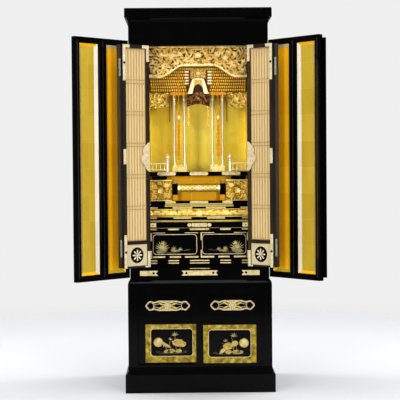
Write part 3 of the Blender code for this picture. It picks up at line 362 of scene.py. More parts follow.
LACQUER = make_lacquer("lacquer", (0.0003, 0.0003, 0.0004), (0.0007, 0.0006, 0.0008), 0.08)
# Paler, glossier lacquer for the beads: its lighter colour is a painted highlight
EDGE_HIGHLIGHT_LACQUER = make_lacquer("painted_highlight_lacquer", (0.008, 0.009, 0.008), (0.013, 0.014, 0.013), 0.45)
BROWN_LACQUER = make_lacquer("brown_lacquer", (0.010, 0.007, 0.005), (0.018, 0.013, 0.009), 0.22)
AGED_GOLD = make_aged_gold()
GOLD_LEAF = make_gold_leaf("gold_leaf", (0.68, 0.47, 0.036), (0.76, 0.54, 0.050))
# Back panel's gold leaf, with a painted reflection and painted shade in bands across it
BACK_LEAF = make_gold_leaf("back_gold_leaf", (0.97, 0.71, 0.050), (1.00, 0.79, 0.078), across=BACK_REFLECTION_TONES)
# Gold leaf of the recess and the roll's feet, darker and more orange than the rest: painted shade
RECESS_LEAF = make_gold_leaf("recess_gold_leaf", (0.50, 0.230, 0.004), (0.55, 0.270, 0.006), 0.35, 0.02)
OLIVE_LEAF = make_gold_leaf("olive_gold_leaf", (0.40, 0.31, 0.065), (0.50, 0.40, 0.100), 0.4, 0.1)
CREAM_LEAF = make_gold_leaf("cream_gold_leaf", (0.60, 0.52, 0.32), (0.68, 0.60, 0.39), 0.3, 0.2)
# Orange gold leaf for the first leaf's field and the second leaf's top and bottom slopes: painted shade
SHADOW_ORANGE_LEAF = make_gold_leaf("painted_shadow_gold_leaf", (0.88, 0.44, 0.008), (0.94, 0.49, 0.012), 0.20, 0.02)
# Duller gold leaf for the first leaf's slopes: painted shade
SHADED_SLOPE_LEAF = make_gold_leaf("painted_shade_gold_leaf", (0.58, 0.40, 0.020), (0.66, 0.46, 0.030), 0.25, 0.1)
# Near-white gold leaf for the second leaf's slope at its fold: painted reflection
REFLECTION_SLOPE_LEAF = make_gold_leaf("painted_reflection_gold_leaf", (0.55, 0.505, 0.41), (0.61, 0.56, 0.47), 0.3, 0.3)
CARVED = make_carved("carved_gilt", GILT_STOPS, 0.72, 0.24)
SHADED = make_carved("shaded_gilt", SHADE_STOPS, 0.72, 0.28)
BROWN = make_carved("dark_gilt", BROWN_STOPS, 0.45, 0.34, 0.1)
ROWS = make_carved("bracket_gilt", ROW_STOPS, 0.35, 0.42, 0.05)
LAMP = make_carved("lamp_gilt", LAMP_STOPS, 0.4, 0.34, 0.1)
PALE_COLUMN = make_carved("column_gilt", COLUMN_STOPS, 0.5, 0.30)
METAL = make_metal("gilt_metal", METAL_STOPS)
PALE_METAL = make_metal("pale_gilt_metal", PALE_STOPS)
GREY_METAL = make_metal("grey_metal", GREY_STOPS)
PLAQUE_METAL = make_metal("plaque_metal", PLAQUE_STOPS)
GAUZE = make_gauze()
SLAT = make_slat_gold()
GOLD_PAINT = make_paint("gold_picture", (0.175, 0.112, 0.022), (0.42, 0.305, 0.075))
SILVER_PAINT = make_paint("silver_picture", (0.22, 0.185, 0.08), (0.52, 0.45, 0.19))
ROSE_PAINT = make_paint("rose_picture", (0.26, 0.14, 0.11), (0.54, 0.36, 0.28))
CREAM_PAINT = make_paint("cream_flower", (0.42, 0.34, 0.20), (0.80, 0.72, 0.50))
DIM_PAINT = make_paint("dim_picture", (0.035, 0.035, 0.020), (0.20, 0.18, 0.10))


# Shapes

class Shape:
    """Points and faces of one piece, gathered shape by shape. mark is a face's material number."""

    def __init__(self):
        self.points = []
        self.faces = []
        self.marks = []
        self.carve = []

    def add(self, points, faces, mark=0, carve=0.6):
        """Closed mesh of points and faces, with one carving depth or one for each point."""
        start = len(self.points)
        self.points += [tuple(point) for point in points]
        self.faces += [[start + index for index in face] for face in faces]
        self.marks += [mark] * len(faces)
        self.carve += carve if isinstance(carve, list) else [carve] * len(points)

    def join(self, other, mark=0):
        """Takes in another shape, such as a carved board."""
        self.add(other.points, other.faces, mark, other.carve)

    def loft(self, rings, mark=0, carve=0.6, closed=False):
        """Solid through rings of as many points each, capped at both ends, or closed in a loop."""
        count = len(rings[0])
        points = [point for ring in rings for point in ring]
        faces = []
        if not closed:
            faces = [list(range(count))[::-1], list(range(len(points) - count, len(points)))]
        for low in range(len(rings) if closed else len(rings) - 1):
            near = low * count
            far = (near + count) % len(points)
            for index in range(count):
                after = (index + 1) % count
                faces.append([near + index, near + after, far + after, far + index])
        if isinstance(carve, list):
            carve = [value for value in carve for _ in range(count)]
        self.add(points, faces, mark, carve)

    def box(self, low, high, mark=0, carve=0.6):
        """Box between two corners."""
        rings = []
        for z in (low[2], high[2]):
            corners = ((low[0], low[1]), (high[0], low[1]), (high[0], high[1]), (low[0], high[1]))
            rings.append([(x, y, z) for x, y in corners])
        self.loft(rings, mark, carve)

    def plate(self, outline, front, thickness=PLATE_T, bevel=PLATE_BEVEL, mark=0, carve=0.75):
        """Upright plate of (x, z) points whose face, with a bevelled edge, stands at y front."""
        inner = inset(outline, bevel)
        rings = [[(x, front + thickness, z) for x, z in outline]]
        rings.append([(x, front + bevel, z) for x, z in outline])
        rings.append([(x, front, z) for x, z in inner])
        self.loft(rings, mark, carve)

    def turned(self, profile, centre, sides=16, mark=0, carve=0.75):
        """Solid of revolution about Z, from (radius, z) points."""
        rings = []
        for radius, z in profile:
            turns = [math.tau * side / sides for side in range(sides)]
            x, y = centre
            rings.append([(x + radius * math.cos(turn), y + radius * math.sin(turn), z) for turn in turns])
        self.loft(rings, mark, carve)

    def dome(self, x, z, radius, front, rise, sides=14, mark=0, carve=0.8):
        """Low dome on an upright face, bulging towards -Y."""
        rings = []
        for step in range(5):
            turn = math.pi / 2 * step / 4
            reach = radius * math.cos(turn) + radius * 0.02
            y = front - rise * math.sin(turn)
            rings.append([(px, y, pz) for px, pz in circle(x, z, reach, sides)])
        self.loft(rings, mark, carve)

    def ribbon(self, path, widths, front, thickness=PLATE_T, mark=0, carve=0.7):
        """Flat strip along (x, z) points with a width at each."""
        left = []
        right = []
        for index, (x, z) in enumerate(path):
            before = path[max(0, index - 1)]
            after = path[min(len(path) - 1, index + 1)]
            across = Vector((before[1] - after[1], after[0] - before[0])).normalized() * widths[index] / 2
            left.append((x + across.x, z + across.y))
            right.append((x - across.x, z - across.y))
        self.plate(left + right[::-1], front, thickness, min(PLATE_BEVEL, min(widths) / 4), mark, carve)


def circle(x, z, radius, sides=40):
    """Upright ring of (x, z) points."""
    turns = [math.tau * side / sides for side in range(sides)]
    return [(x + radius * math.cos(turn), z + radius * math.sin(turn)) for turn in turns]


def inset(outline, amount):
    """The outline with each corner moved in along its own bisector."""
    area = sum(a[0] * b[1] - b[0] * a[1] for a, b in zip(outline, outline[1:] + outline[:1]))
    turn = 1.0 if area > 0 else -1.0
    moved = []
    for index, here in enumerate(outline):
        before = outline[index - 1]
        after = outline[(index + 1) % len(outline)]
        one = Vector((here[0] - before[0], here[1] - before[1])).normalized()
        two = Vector((after[0] - here[0], after[1] - here[1])).normalized()
        normal = Vector((-(one.y + two.y), one.x + two.x)) * turn
        if normal.length < 0.05:
            normal = Vector((-one.y, one.x)) * turn
        normal = normal.normalized()
        moved.append((here[0] + normal.x * amount, here[1] + normal.y * amount))
    return moved


def piece(name, shape, materials, body, replaced=(), matrix=None, smooth=None):
    """One object from a shape, riding on its body."""
    mesh = bpy.data.meshes.new(name)
    mesh.from_pydata(shape.points, [], shape.faces)
    for material in materials:
        mesh.materials.append(material)
    mesh.polygons.foreach_set("material_index", shape.marks)
    depth = mesh.attributes.new("carve", "FLOAT", "POINT")
    depth.data.foreach_set("value", shape.carve)
    fixed = bmesh.new()
    fixed.from_mesh(mesh)
    bmesh.ops.recalc_face_normals(fixed, faces=fixed.faces)
    fixed.to_mesh(mesh)
    fixed.free()
    if smooth is not None:
        mesh.shade_smooth()
        mesh.set_sharp_from_angle(angle=math.radians(smooth))
    made = bpy.data.objects.new(name, mesh)
    bpy.context.scene.collection.objects.link(made)
    if matrix is not None:
        made.matrix_world = matrix
    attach(made, body)
    if replaced:
        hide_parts(*replaced)
    return made


def rectangle(left, right, low, high):
    """Corners of an upright rectangle."""
    return [(left, low), (right, low), (right, high), (left, high)]


def rounded(left, right, low, high, radius, steps=5):
    """Rectangle with round corners."""
    points = []
    corners = ((right - radius, high - radius, 0), (left + radius, high - radius, 1))
    corners += ((left + radius, low + radius, 2), (right - radius, low + radius, 3))
    for x, z, quarter in corners:
        for step in range(steps + 1):
            turn = math.pi / 2 * (quarter + step / steps)
            points.append((x + radius * math.cos(turn), z + radius * math.sin(turn)))
    return points


def band(shape, outer, inner, front, thickness=PLATE_T, mark=0, carve=0.75, bevel=PLATE_BEVEL):
    """Flat frame between two outlines with as many points each, with bevelled edges."""
    rings = [[(x, front + thickness, z) for x, z in outer], [(x, front + bevel, z) for x, z in outer]]
    rings.append([(x, front, z) for x, z in inset(outer, bevel)])
    rings.append([(x, front, z) for x, z in inset(inner, -bevel)])
    rings += [[(x, front + bevel, z) for x, z in inner], [(x, front + thickness, z) for x, z in inner]]
    shape.loft(rings, mark, carve, closed=True)


def fitting(left, right, low, high, ends=("square", "square")):
    """Outline of a flat metal fitting. Its ends are square, round, pointed or fishtailed."""
    tall = high - low
    middle = (low + high) / 2

    def end_points(x, way, kind):
        """Points from the lower corner up to the upper one, way being -1 on the left."""
        if kind == "square":
            return [(x, low), (x, high)]
        if kind == "point":
            return [(x - way * tall * 0.45, low), (x, middle), (x - way * tall * 0.45, high)]
        if kind == "fishtail":
            notch = x - way * tall * 0.42
            tip = [(x, low), (x - way * tall * 0.10, low + tall * 0.18), (notch, middle)]
            return tip + [(x - way * tall * 0.10, high - tall * 0.18), (x, high)]
        half = tall / 2
        turns = [math.pi * (step / 8 - 0.5) for step in range(9)]
        return [(x - way * half * (1 - math.cos(turn)), middle + half * math.sin(turn)) for turn in turns]

    right_side = end_points(right, 1, ends[1])
    left_side = end_points(left, -1, ends[0])
    return right_side + left_side[::-1]


# Carving

def blossom(u, v):
    """Open flower: three rings of petals round a boss."""
    reach = np.hypot(u, v)
    turn = np.arctan2(v, u)
    height = np.zeros_like(reach)
    for size, count, base, phase in ((1.0, 8, 0.34, 0.0), (0.70, 7, 0.52, 0.4), (0.40, 5, 0.70, 0.2)):
        lobe = np.abs(np.cos(count * (turn + phase) / 2))
        edge = size * (0.78 + 0.22 * lobe)
        share = np.clip(reach / edge, 0.0, 1.0)
        petal = base + 0.26 * share ** 2 - 0.16 * (1.0 - lobe) ** 3
        height = np.where(reach < edge, petal, height)
    return np.where(reach < 0.15, 0.95 - 2.0 * reach ** 2, height)


def leaf(u, v):
    """Long leaf along u, with a sunk midrib, side veins and toothed edges."""
    half = 0.40 * np.sqrt(np.clip(1.0 - u * u, 0.0, 1.0)) * (1.0 + 0.20 * np.cos(15.0 * u))
    across = np.abs(v) / np.maximum(half, 1e-4)
    body = 0.26 + 0.46 * np.sqrt(np.clip(1.0 - across ** 2, 0.0, 1.0))
    vein = 0.22 * np.exp(-((v / 0.045) ** 2)) + 0.07 * np.cos(24.0 * (u - np.abs(v)))
    return np.where(across < 1.0, np.maximum(body - vein, 0.05), 0.0)


def curl(u, v):
    """Round scroll: a ridge that winds in to an eye."""
    reach = np.hypot(u, v)
    turn = np.arctan2(v, u)
    ridge = 0.5 + 0.5 * np.cos(math.tau * (1.9 * reach - turn / math.tau))
    height = 0.22 + 0.60 * ridge * np.clip(1.25 - reach, 0.0, 1.0)
    return np.where(reach < 1.0, height, 0.0)


class Carving:
    """Height field over a board. place(u, v) gives x and z, and stamps raise flowers, leaves and scrolls."""

    def __init__(self, columns, rows, place):
        self.columns = columns
        self.rows = rows
        u, v = np.meshgrid(np.linspace(0, 1, columns + 1), np.linspace(0, 1, rows + 1), indexing="ij")
        self.u = u
        self.v = v
        self.x, self.z = place(u, v)
        self.height = np.full_like(u, 0.02)

    def stamp(self, form, x, z, size, turn=0.0, lift=1.0):
        """Raises one form, centred at x and z, with its half length and its turn in radians."""
        across = self.x - x
        up = self.z - z
        near = (np.abs(across) < size) & (np.abs(up) < size)
        if not near.any():
            return
        c, s = math.cos(turn) / size, math.sin(turn) / size
        u = across[near] * c + up[near] * s
        v = up[near] * c - across[near] * s
        self.height[near] = np.maximum(self.height[near], lift * form(u, v))

    def scatter(self, seeds, count, xs, zs, sizes, turns, lifts):
        """Leaves at random places, each value drawn between a pair of limits."""
        for _ in range(count):
            x = seeds.uniform(*xs)
            z = seeds.uniform(*zs)
            self.stamp(leaf, x, z, seeds.uniform(*sizes), seeds.uniform(*turns), seeds.uniform(*lifts))

    def raise_to(self, height, where):
        """Sets a least height where a mask holds."""
        self.height = np.where(where, np.maximum(self.height, height), self.height)

    def solid(self, front, relief, thickness):
        """Closed board whose carved face stands out from y front by relief."""
        shape = Shape()
        columns, rows = self.columns, self.rows
        face_y = front - relief * self.height
        points = np.stack([self.x, face_y, self.z], axis=-1).reshape(-1, 3).tolist()
        stride = rows + 1
        faces = []
        for i in range(columns):
            for j in range(rows):
                near = i * stride + j
                faces.append([near, near + stride, near + stride + 1, near + 1])
        border = [(i, 0) for i in range(columns + 1)] + [(columns, j) for j in range(1, rows + 1)]
        border += [(i, rows) for i in range(columns - 1, -1, -1)] + [(0, j) for j in range(rows - 1, 0, -1)]
        back = {}
        for i, j in border:
            back[i, j] = len(points)
            points.append([self.x[i, j], front + thickness, self.z[i, j]])
        for one, two in zip(border, border[1:] + border[:1]):
            faces.append([two[0] * stride + two[1], one[0] * stride + one[1], back[one], back[two]])
        for i in range(columns):
            strip = [(i, 0), (i + 1, 0)]
            if i + 1 == columns:
                strip += [(columns, j) for j in range(1, rows)]
            strip += [(i + 1, rows), (i, rows)]
            if i == 0:
                strip += [(0, j) for j in range(rows - 1, 0, -1)]
            faces.append([back[corner] for corner in strip])
        carve = self.height.reshape(-1).tolist() + [0.5] * len(border)
        shape.add(points, faces, 0, carve)
        return shape


def smooth_step(low, high, value):
    """0 below low, 1 above high, and an easy curve between, for numbers or arrays."""
    share = np.clip((value - low) / (high - low), 0.0, 1.0)
    return share * share * (3.0 - 2.0 * share)


# Places of the nodes

class Box:
    """Extent of a node."""

    def __init__(self, node):
        least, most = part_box(node)
        self.left, self.front, self.low = least
        self.right, self.back, self.high = most
        self.tall = self.high - self.low
        self.centre = ((self.left + self.right) / 2, (self.front + self.back) / 2)

    def ends(self, side):
        """x of the end nearer to the altar's middle, and of the far one."""
        return (self.right, self.left) if side < 0 else (self.left, self.right)


def span(side, near, far):
    """x limits, from distances to the middle on one side."""
    return sorted((side * near, side * far))


def leaf_frame(hinge, fold=None):
    """Matrix of a leaf's own frame at rest, from its joint's place and the angles it stands open by."""
    first = JOINTS[hinge]
    side = 1.0 if first["axis"][2] > 0 else -1.0
    turn = -side * first["range_deg"][0]
    spot = first["pos_m"]
    if fold:
        spot = JOINTS[fold]["pos_m"]
        turn += side * JOINTS[fold]["range_deg"][0]
    return Matrix.Translation((spot[0], spot[1], 0.0)) @ Matrix.Rotation(math.radians(turn), 4, "Z")


def leaf_width(door, setback):
    """Width of a leaf, whose fold stands off from its hinge's face by a setback."""
    hinge, fold = [JOINTS[f"{door}_{kind}"]["pos_m"] for kind in ("hinge", "fold")]
    return math.sqrt((hinge[0] - fold[0]) ** 2 + (hinge[1] - fold[1]) ** 2 - setback ** 2)


def finish_nodes():
    """Gives each kept node its own material, or the one of its slot."""
    by_slot = {
        "lacquer": LACQUER, "gold_leaf": GOLD_LEAF, "carved_gilt": CARVED, "dark_gilt": BROWN,
        "lattice": SLAT, "brass": METAL,
    }
    slots = {entry["node"]: entry["material_slot"] for entry in frame["record"]["subparts"]}
    own = {"recess_panel": RECESS_LEAF, "gilt_back": BACK_LEAF}
    own |= {f"shoji_{leaf}": BROWN_LACQUER for leaf in ("left_a", "left_b", "right_a", "right_b")}
    for name, thing in NODES.items():
        thing.data.materials.clear()
        thing.data.materials.append(own.get(name) or by_slot[slots[name]])


# Outer doors

# Gilt of each leaf's panel, and which of it the slopes at its axis, at the far edge, above and below have. These
# tones stand for light: the first leaf's orange field and the darker slopes are painted shade, the cream and pale
# slopes painted highlight and reflection
PANEL_GILT = {
    "a": ([SHADOW_ORANGE_LEAF, SHADED_SLOPE_LEAF, CREAM_LEAF], (1, 1, 2, 1)),
    "b": ([GOLD_LEAF, REFLECTION_SLOPE_LEAF, METAL, SHADOW_ORANGE_LEAF], (1, 2, 3, 3)),
}


def sunk_panel(side, letter, face, start, end, low, high, axis_slope):
    """Panel at the foot of a leaf's recess, with sloped borders that rise to its frame."""
    shape = Shape()
    outer = inset(rectangle(*span(-side, start, end), low, high), PROUD)
    sunk = span(-side, start + axis_slope, end - PANEL_SLOPE)
    inner = rectangle(*sunk, low + PANEL_SLOPE, high - PANEL_SLOPE)
    floor = face - LEAF_RECESS
    shape.loft([
        [(x, floor + PROUD, z) for x, z in outer],
        [(x, face - PROUD, z) for x, z in outer],
        [(x, floor + 2 * PROUD, z) for x, z in inner],
    ])
    # Each slope takes its own tone from the table: painted highlight or painted shade, by how light falls on it
    slopes = (3, 1, 2, 0) if side < 0 else (1, 3, 2, 0)
    for slope, mark in zip(slopes, PANEL_GILT[letter][1]):
        shape.marks[len(shape.marks) - 4 + slope] = mark
    return shape


def highlight_bead(middle, face, low, high):
    """Flat upright bead on a leaf's inner face, which stands for a highlight line on the frame and takes a paler
    lacquer as painted highlight.
    """
    shape = Shape()
    back = face + EDGE_BEAD_RISE
    rings = []
    for step in range(7):
        turn = math.pi * step / 6
        x = middle - EDGE_BEAD_R * math.cos(turn)
        y = face + SUNK - EDGE_BEAD_RISE * math.sin(turn)
        rings.append([(x, y, low), (x, y, high), (x, back, high), (x, back, low)])
    shape.loft(rings)
    return shape


def make_outer_doors():
    """Gilt panels sunk in the inner faces of the outer doors, with painted light and shade on their slopes, each
    with a bead on the frame beside it that carries a painted highlight line.
    """
    door = Box("outer_left_a")
    low, high = door.low + RAIL_H, door.high - RAIL_H
    leaf_w = leaf_width("outer_right", LEAF_T)
    for side, word in SIDES:
        hinge, fold = f"outer_{word}_hinge", f"outer_{word}_fold"
        leaves = (
            ("a", leaf_frame(hinge), 0.0, LEAF_GAP, leaf_w - LEAF_GAP / 2, PANEL_SLOPE, 0.0030),
            ("b", leaf_frame(hinge, fold), LEAF_T, LEAF_GAP / 2, leaf_w, FOLD_SLOPE, 0.0115),
        )
        for letter, matrix, face, start, end, axis_slope, bead_in in leaves:
            name = f"{word}_{letter}"
            shape = sunk_panel(side, letter, face, start + STILE_W, end - STILE_W, low, high, axis_slope)
            gilt = PANEL_GILT[letter][0]
            piece(f"gold_panel_{name}", shape, gilt, f"outer_{name}", matrix=matrix)
            foot, head = low - EDGE_BEAD_PAST_PANEL, high + EDGE_BEAD_PAST_PANEL
            shape = highlight_bead(-side * (end - bead_in), face, foot, head)
            looks = [EDGE_HIGHLIGHT_LACQUER]
            body = f"outer_{name}"
            piece(f"highlight_bead_{name}", shape, looks, body, matrix=matrix, smooth=CARVED_SMOOTH)


# Lattice doors

def lattice_shape(left, right, low, high, front, back):
    """Gauze with upright strips and pairs of level strips on both its faces."""
    shape = Shape()
    middle = (front + back) / 2
    near_face, far_face = middle - GAUZE_HALF_T, middle + GAUZE_HALF_T
    shape.box((left, near_face, low), (right, far_face, high))
    pitch = (right - left - STRIP_W) / (STRIPS - 1)
    for number in range(STRIPS):
        x = left + pitch * number
        for near, far in ((front, near_face), (far_face, back)):
            chamfered_bar(shape, (x, x + STRIP_W), (low, high), near, far, True)
    pair_pitch = (high - low - BAR_HEAD_ROOM) / (BAR_PAIRS + 1)
    levels = [low, high - BAR_H]
    for number in range(1, BAR_PAIRS + 1):
        foot = low + pair_pitch * number
        levels += [foot - BAR_H / 2, foot + BAR_PAIR_GAP - BAR_H / 2]
    for level in levels:
        for near, far in ((front + BAR_SETBACK, near_face), (far_face, back - BAR_SETBACK)):
            chamfered_bar(shape, (left, right), (level, level + BAR_H), near, far, False)
    return shape


def chamfered_bar(shape, xs, zs, front, back, upright):
    """Upright or level strip with chamfered front edges."""
    chamfer = 0.0008
    low, high = xs if upright else zs
    section = [(low, back), (high, back), (high, front + chamfer), (high - chamfer, front)]
    section += [(low + chamfer, front), (low, front + chamfer)]
    if upright:
        rings = [[(p, y, z) for p, y in section] for z in zs]
    else:
        rings = [[(x, y, p) for p, y in section] for x in xs]
    shape.loft(rings, 1)


def crest(shape, x, z, radius, front, mark):
    """Flower crest: two rings of eight petals round a boss."""
    petals, corners = 8, 14
    for inner, outer, wide, rise, phase in ((0.34, 1.0, 0.185, 0.0, 0.0), (0.14, 0.46, 0.095, 0.0006, 0.5)):
        for number in range(petals):
            turn = math.tau * (number + phase) / petals
            outline = []
            for step in range(corners):
                angle = math.tau * step / corners
                along = (inner + outer) / 2 + (outer - inner) / 2 * math.cos(angle)
                across = wide * math.sin(angle) * (0.72 + 0.28 * math.cos(angle))
                px = radius * (along * math.cos(turn) - across * math.sin(turn))
                pz = radius * (along * math.sin(turn) + across * math.cos(turn))
                outline.append((x + px, z + pz))
            shape.plate(outline, front - rise, 0.0010, 0.0003, mark)
    shape.dome(x, z, radius * 0.17, front - 0.0006, 0.0012, 12, mark)


def scalloped(x, z, radius, lobes, depth, steps=64):
    """Round outline with small lobes."""
    points = []
    for step in range(steps):
        turn = math.tau * step / steps
        reach = radius * (1.0 - depth + depth * abs(math.sin(lobes * turn / 2)))
        points.append((x + reach * math.cos(turn), z + reach * math.sin(turn)))
    return points


# Lower panel's plate, its round opening, and the disc and the crest in it
PANEL_PLATE_T = 0.0008
OPENING_R = 0.0335
DISC_R = 0.0305
DISC_T = 0.0006
DISC_DEPTH = 0.002
CREST_R = 0.0245


def crest_panel(left, right, low, high, centre_x, face):
    """Gilt lower panel with a round opening, in which a lobed black disc bears the crest."""
    shape = Shape()
    x, z = centre_x, (low + high) / 2
    angles = [math.tau * (step + 0.5) / 48 for step in range(48)]
    hole = [(x + OPENING_R * math.cos(angle), z + OPENING_R * math.sin(angle)) for angle in angles]
    corners = inset(rectangle(left, right, low, high), PROUD)
    band(shape, square_ring(corners, angles), hole, face - PANEL_PLATE_T, PANEL_PLATE_T - SUNK)
    disc = face - DISC_DEPTH
    shape.plate(scalloped(x, z, DISC_R, 12, 0.05), disc - DISC_T, DISC_T, 0.0002, 1)
    crest(shape, x, z, CREST_R, disc - 0.0014, 2)
    return shape


def square_ring(corners, angles):
    """Points on a rectangle's edge, seen from its centre at the angles."""
    xs, zs = zip(*corners)
    cx, cz = (min(xs) + max(xs)) / 2, (min(zs) + max(zs)) / 2
    half_x, half_z = (max(xs) - min(xs)) / 2, (max(zs) - min(zs)) / 2
    points = []
    for angle in angles:
        c, s = math.cos(angle), math.sin(angle)
        reach = min(half_x / max(abs(c), 1e-6), half_z / max(abs(s), 1e-6))
        points.append((cx + reach * c, cz + reach * s))
    return points


def make_lattice_doors():
    """Lattice and gilt lower panel of each lattice leaf, and the metal of the leaves."""
    width = leaf_width("shoji_right", SHOJI_SETBACK + SHOJI_T)
    door = Box("shoji_left_a")
    panel_low = door.low + SHOJI_FOOT_H
    panel_high = panel_low + SHOJI_PANEL_H
    window_low = panel_high + SHOJI_MID_RAIL_H + PROUD
    window_high = door.high - SHOJI_RAIL_H - PROUD
    for side, word in SIDES:
        first = leaf_frame(f"shoji_{word}_hinge")
        second = leaf_frame(f"shoji_{word}_hinge", f"shoji_{word}_fold")
        leaves = (
            ("a", first, HINGE_GAP, width - LEAF_GAP / 2, SHOJI_SETBACK),
            ("b", second, LEAF_GAP / 2, width, -SHOJI_T),
        )
        for letter, matrix, start, end, front in leaves:
            name = f"{word}_{letter}"
            left, right = span(-side, start + SHOJI_STILE_W + PROUD, end - SHOJI_STILE_W - PROUD)
            near, far = [front + SHOJI_T / 2 + half for half in (-LATTICE_HALF_T, LATTICE_HALF_T)]
            shape = lattice_shape(left, right, window_low, window_high, near, far)
            node = f"lattice_{name}"
            piece(f"lattice_strips_{name}", shape, [GAUZE, SLAT], f"shoji_{name}", (node,), matrix)
            centre = -side * (start + end) / 2
            shape = crest_panel(left, right, panel_low, panel_high, centre, front + PANEL_RECESS)
            looks = [CREAM_LEAF, LACQUER, CREAM_PAINT]
            piece(f"crest_panel_{name}", shape, looks, f"shoji_{name}", matrix=matrix)
        shoji_fittings(side, word, second, width, door.low, door.tall)
        fold_hinges(side, word, first, second, width, door.low, door.tall)


def shoji_fittings(side, word, matrix, width, low, tall):
    """Metal corners, straps and a flower-shaped plate on the front of the second lattice leaf."""
    front = -SHOJI_T - PLATE_T + SUNK
    shape = Shape()
    hinge_in, hinge_out = 0.0012, SHOJI_STILE_W - 0.001
    free_in, free_out = width - SHOJI_STILE_W + 0.001, width - 0.0012
    foot, head = 0.0005, tall - 0.0005
    rail = tall - SHOJI_RAIL_H + 0.001
    straps = (
        (hinge_in, hinge_out, tall - 0.151, head),
        (hinge_out, 0.036, rail, head),
        (hinge_in, hinge_out, 0.438, 0.501),
        (hinge_in, hinge_out, foot, 0.141),
        (free_in, free_out, tall - 0.069, head),
        (0.101, free_in, rail, head),
        (free_in, free_out, foot, 0.068),
        (0.110, free_in, foot, SHOJI_FOOT_H - 0.001),
    )
    for start, end, lower, upper in straps:
        shape.plate(rectangle(*span(-side, start, end), low + lower, low + upper), front)
    for level in (0.068, tall - 0.077):
        shape.dome(-side * 0.008, low + level, 0.0056, front, 0.0022, 14, 2)
    plate_low, plate_high = low + 0.404, low + 0.532
    middle = (plate_low + plate_high) / 2
    shape.plate(flower_plate(side, free_out, plate_low, plate_high), front - 0.0004, 0.0016)
    crest(shape, -side * (width - 0.0215), middle, 0.013, front - 0.0012, 0)
    for level in (-0.030, 0.030):
        shape.dome(-side * (width - 0.009), middle + level, 0.0034, front - 0.0004, 0.0016, 12, 1)
    looks = [PALE_METAL, SHADED, BROWN_LACQUER]
    piece(f"shoji_fittings_{word}", shape, looks, f"shoji_{word}_b", matrix=matrix)


def flower_plate(side, edge, low, high):
    """Outline of the flower-shaped plate: straight at the free edge and lobed towards the lattice."""
    points = [(-side * edge, low), (-side * edge, high)]
    for step in range(1, 30):
        share = step / 30
        lobe = abs(math.sin(2.5 * math.pi * share))
        depth = 0.044 * math.sin(math.pi * share) ** 0.7 * (0.72 + 0.28 * lobe)
        points.append((-side * (edge - depth), high + (low - high) * share))
    return points


# Fold hinges: knuckles in each, their radius and the one at their ends, and the y limits of the plates
KNUCKLES = 5
KNUCKLE_R = 0.0012
KNUCKLE_END_R = 0.0009
HINGE_PLATE_YS = (0.0162, 0.0190)


def fold_hinges(side, word, first, second, width, low, tall):
    """Knuckles at the fold, and the thin plates at the first leaf's edge that carry them."""
    knuckles = Shape()
    plates = Shape()
    end = width - LEAF_GAP / 2
    left, right = span(-side, end - 0.0010, end + 0.0002)
    for foot, head in ((0.047, 0.120), (tall - 0.132, tall - 0.058)):
        step = (head - foot) / KNUCKLES
        for number in range(KNUCKLES):
            start = low + foot + step * number
            profile = [(KNUCKLE_END_R, start + 0.0003), (KNUCKLE_R, start + 0.0008)]
            profile += [(KNUCKLE_R, start + step - 0.0008), (KNUCKLE_END_R, start + step - 0.0003)]
            knuckles.turned(profile, (0.0, 0.0), 10)
        plates.box((left, HINGE_PLATE_YS[0], low + foot), (right, HINGE_PLATE_YS[1], low + head))
    grey = [GREY_METAL]
    body = f"shoji_{word}_b"
    piece(f"fold_hinges_{word}", knuckles, grey, body, matrix=second, smooth=ROLLED_SMOOTH)
    piece(f"hinge_plates_{word}", plates, grey, f"shoji_{word}_a", matrix=first)


# Carved boards

# Flowers of the transom: distance from the middle, drop from its head, and size
TRANSOM_FLOWERS = (
    (0.0, 0.036, 0.019), (0.050, 0.050, 0.013), (0.078, 0.030, 0.015), (0.118, 0.048, 0.016),
    (0.160, 0.034, 0.014), (0.152, 0.082, 0.013), (0.196, 0.062, 0.014), (0.192, 0.106, 0.012),
)

# Its scrolls: distance, drop, size and turn
TRANSOM_SCROLLS = (
    (0.030, 0.020, 0.012, 0.4), (0.100, 0.022, 0.012, 1.8), (0.138, 0.024, 0.011, 3.0),
    (0.138, 0.066, 0.011, 4.4), (0.098, 0.070, 0.010, 2.2), (0.026, 0.062, 0.010, 5.1),
    (0.180, 0.084, 0.011, 1.0), (0.206, 0.030, 0.010, 2.0),
)


# What a carved board's back keeps clear of its node's back
BACK_CLEARANCE = 0.0002


def board(near, far, low, high):
    """Rule that places the points of a flat board."""
    return lambda u, v: (near + (far - near) * u, low + (high - low) * v)


def carved_piece(name, carving, node, ground, clearance, material):
    """A carved board that stands for a node of the cabinet. ground is the thickness behind its relief."""
    box = Box(node)
    face = box.back - ground
    shape = carving.solid(face, face - box.front - clearance, ground - BACK_CLEARANCE)
    piece(name, shape, [material], "cabinet", (node,), smooth=CARVED_SMOOTH)


